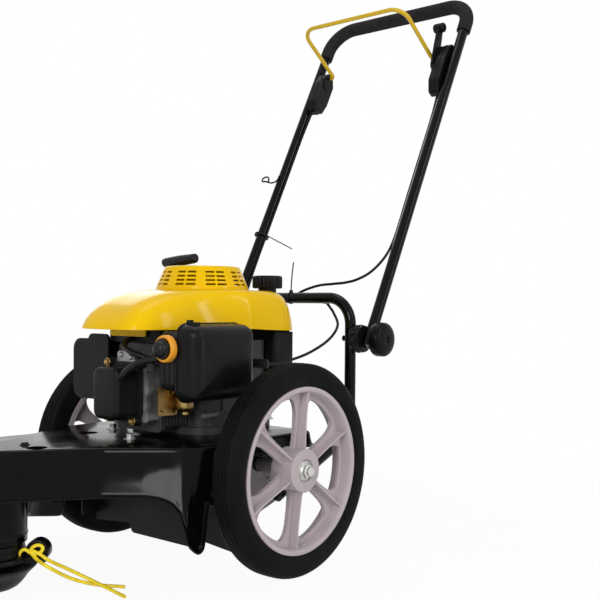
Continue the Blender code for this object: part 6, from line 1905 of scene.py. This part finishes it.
@dataclass
class Controls:
    """Bail, its housings, the throttle lever, rope guide and the cables."""

    pivot_z: float = 1.0
    pod_t: float = .026
    pod_len: dict[int, float] = field(default_factory=lambda: {1: .125, -1: .105})
    pod_drop: dict[int, float] = field(default_factory=lambda: {1: .034, -1: .04})
    pod_w: float = .04
    outer: float = HANDLE_X - TUBE_R - TOUCH
    bail_r: float = .0046
    left_x: float = .1322
    right_x: float = -.143
    cable_r: float = .0027

    @property
    def ear(self) -> float:
        """Inner face of the housings."""
        return HANDLE_X - TUBE_R - 2 * TOUCH - self.pod_t

    def pod_outline(self, side: int, inset: float = 0.0) -> list[Point2]:
        """A housing seen from the side, with its long axis along the leg."""
        length, width = self.pod_len[side], self.pod_w
        corners = grown(rounded([
            (-length / 2, -width * .32), (-length * .2, -width / 2), (length * .3, -width / 2),
            (length / 2, -width * .2), (length / 2, width * .3), (length * .2, width / 2),
            (-length * .3, width / 2), (-length / 2, width * .18),
        ], .008), -inset)
        along = leg_direction()
        turn = Matrix.Rotation(atan2(along.z, along.y), 2)
        centre = leg_point(1, self.pivot_z - self.pod_drop[side])
        spots = [turn @ Vector(corner) for corner in corners]
        return [(centre.y + spot.x, centre.z + spot.y) for spot in spots]

    def pod(self, bench: Bench, side: int) -> Piece:
        """A housing in two halves, with its boss and screw, built on the left."""
        outer, inner = self.outer, self.outer - self.pod_t
        height = self.pivot_z - self.pod_drop[side]
        body = bench.plate("pod_body", self.pod_outline(side), Plane.YZ, inner, outer, .0046, 5)
        seam = bench.plate("pod_seam", self.pod_outline(side, -.0008), Plane.YZ,
                           outer - .0145, outer - .0115, .0006)
        spot = leg_point(1, height + (0.0 if side > 0 else .026))
        boss = bench.turned("pod_boss", offset(
            self.ear, (.004, .018), (-.0008, .0176), (-.0022, .0164), (-.0026, .015),
            (-.0014, .014), (-.0014, .006), (-.0026, .005),
        ), (0, spot.y - .004, spot.z), Axis.X, 40)
        spot = leg_point(1, height - .038)
        screw = bench.turned("pod_screw", offset(
            inner, (-.0006, .0038), (.004, .0044)), (0, spot.y, spot.z), Axis.X, 20)
        return bench.joined(body, seam, boss, screw)

    def throttle_pod(self, bench: Bench) -> Piece:
        """Housing of the throttle, on the left leg."""
        pod = self.pod(bench, 1)
        pod.name = "throttle_pod"
        return pod

    def bail_pod(self, bench: Bench) -> Piece:
        """Housing of the bail's cable, on the right leg."""
        near = self.pod(bench, -1)
        pod = bench.copied(near, "bail_pod", mirrored_x())
        bpy.data.objects.remove(near)
        return pod

    def bail(self, bench: Bench) -> Piece:
        """Wire bail with wide front corners and short cranked ends."""
        pivot = leg_point(1, self.pivot_z)
        y, z = pivot.y - .1225, pivot.z + .0841
        path = bend([
            (self.ear, pivot.y, pivot.z), (self.left_x, pivot.y, pivot.z), (self.left_x, y, z),
            (self.right_x, y, z), (self.right_x, pivot.y, pivot.z), (-self.ear, pivot.y, pivot.z),
        ], (.0095, .034, .034, .0095), 14)
        return bench.swept("bail_wire", path, self.bail_r, 7)

    def lever(self, bench: Bench) -> Piece:
        """Throttle lever with its T-shaped knob."""
        spot = leg_point(1, self.pivot_z - .022)
        low, high = self.ear - .006, self.ear
        tip = Vector((spot.y + .01, spot.z + .085))
        base = Vector((spot.y - .012, spot.z))
        along = (tip - base).normalized()
        outline: list[Point2] = []
        for centre, radius, facing in ((base, .0125, pi), (tip, .0085, 0)):
            start = atan2(along.y, along.x) + facing - pi / 2
            outline += [
                (centre.x + radius * cos(angle), centre.y + radius * sin(angle))
                for angle in (start + pi * k / 16 for k in range(17))
            ]
        lever = bench.plate("lever_blade", outline, Plane.YZ, low, high, .0012, 3)
        knob = bench.turned("lever_grip", [
            (-.0134, .007), (-.013, .0086), (-.012, .01), (-.01, .0105), (-.001, .0103),
            (.008, .0105), (.01, .01), (.0114, .0086), (.012, .007),
        ], (low + .003, tip.x, tip.y + .002), Axis.X, 40)
        return bench.joined(lever, knob)

    def guide(self, bench: Bench) -> Piece:
        """Pigtail wire on the right leg that parks the starter rope."""
        spot = leg_point(-1, PIVOT_Z + .47 * (HANDLE_TOP[1] - PIVOT_Z))
        along = leg_direction()
        front = Vector((0, -along.z, along.y))
        start = spot + front * (TUBE_R + .0022)
        path = [
            start + along * .01, start + along * .002, start + front * .004 - along * .008,
            start + front * .015 - along * .019,
        ]
        centre = spot + front * .045 - along * .018 + Vector((-.008, 0, 0))
        for k in range(34):
            angle = radians(-70 - 330 * k / 33)
            path.append(
                centre + Vector((.0085 * cos(angle), 0, 0))
                + along * (.0075 * sin(angle)) - front * (.006 * k / 33)
            )
        return bench.swept("rope_eye", path, .0019, 5)

    def pod_tail(self, side: int) -> Vector:
        """Where a cable leaves the lower end of a housing."""
        middle = leg_point(side, self.pivot_z - self.pod_drop[side])
        spot = middle - leg_direction() * (self.pod_len[side] / 2 + .003 + TOUCH)
        return Vector((side * (HANDLE_X - TUBE_R - .006), spot.y, spot.z))

    def leg_run(self, side: int, x: float, low: float) -> list[Point3]:
        """Points down a leg, from a housing to a given height, with the housing's end first."""
        tail = self.pod_tail(side)
        heights = [tail.z + (low - tail.z) * share for share in (.18, .47, .76, 1.0)]
        return [tail, *((x, leg_point(side, height).y, height) for height in heights)]

    def cables(self, bench: Bench) -> None:
        """Throttle and bail cables, each in a piece on the handle and one on the chassis."""
        x = HANDLE_X - TUBE_R - self.cable_r - TOUCH
        start = leg_point(-1, PIVOT_Z + .082)
        low_x, down_x = -x + .004, -.1225
        begin = Vector((low_x, start.y, start.z)) - leg_direction() * TOUCH * 5
        routes: dict[str, tuple[str, list[Point3]]] = {
            "throttle_cable_upper": ("handle", [
                *self.leg_run(1, x, .592), (.1775, .34, .552), (.1665, .308, .5205),
                (.145, .29, .504), (.1186, .2845, .4975), (.093, .2835, .4955),
            ]),
            "throttle_cable_lower": ("chassis", [
                *((x, PIVOT_Y + y, z) for x, y, z in (
                    (.074, .0185, .456), (.09, .02, .436), (.118, -.004, .412), (.13, -.048, .386),
                    (.128, -.104, .363), (.124, -.16, .35))),
                (.1215, .08, .347), (.121, .0482, .347),
            ]),
            "bail_cable_upper": ("handle", [
                *self.leg_run(-1, -x, PIVOT_Z + .152), (low_x, start.y, PIVOT_Z + .082),
            ]),
            "bail_cable_lower": ("chassis", [
                begin, *((low_x + across, PIVOT_Y + y, z) for across, y, z in (
                    (.008, .036, .445), (.023, .032, .415), (.04, .024, .375), (.05, -.004, .33))),
                (low_x + .051, .205, .288), (low_x + .049, .145, .262),
                (low_x + .047, .102, .25), (down_x, .087, .24), (down_x, .084, .229),
                (down_x, .0825, .218), (down_x, .074, .2105), (down_x, .055, .2085),
                (down_x, .0296, .2085),
            ]),
            "throttle_cable_span": ("chassis", [
                (.0915, .2834, .4953), (.0563, .282, .4925), (.0232, .2818, .4848), (0, .281, .476),
                (-.01, .2805, .469), (0, .2805, .463), (.04, .2808, .461),
                (.073, PIVOT_Y + .0184, .4568),
            ]),
        }
        for node, (body, route) in routes.items():
            loose = node == "throttle_cable_span"
            name = node if loose else f"{node}_sheath"
            cable = bench.routed(name, route, self.cable_r, 5, 9)
            bench.dress(cable, CABLE_BLACK, *([] if loose else [node]), body=body)

    def build(self, bench: Bench) -> None:
        """Build every control and cable."""
        bench.fit(
            (self.throttle_pod, SATIN_BLACK, "throttle_housing", "handle"),
            (self.bail_pod, SATIN_BLACK, "bail_housing", "handle"),
            (self.bail, WIRE_YELLOW, "bail", "bail"),
            (self.lever, SATIN_BLACK, "throttle_lever", "throttle"),
            (self.guide, TUBE_PAINT, "rope_guide", "handle"),
        )
        self.cables(bench)


def main() -> None:
    """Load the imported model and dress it."""
    logging.basicConfig(level=logging.INFO, format="%(name)s %(message)s")
    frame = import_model()
    low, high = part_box("axle")
    bench = Bench(FinishShop(), (low[1] + high[1]) / 2)
    Studio().build(bench)
    for assembly in (
        TrimmerLines(), Wheels(), Deck(), TrimmerHead(), Engine(), Starter(), Handle(), Controls(),
    ):
        LOG.info("building %s", type(assembly).__name__)
        assembly.build(bench)
    LOG.info("%d pieces over %d nodes", bench.count, len(frame["nodes"]))


if __name__ == "__main__":
    main()
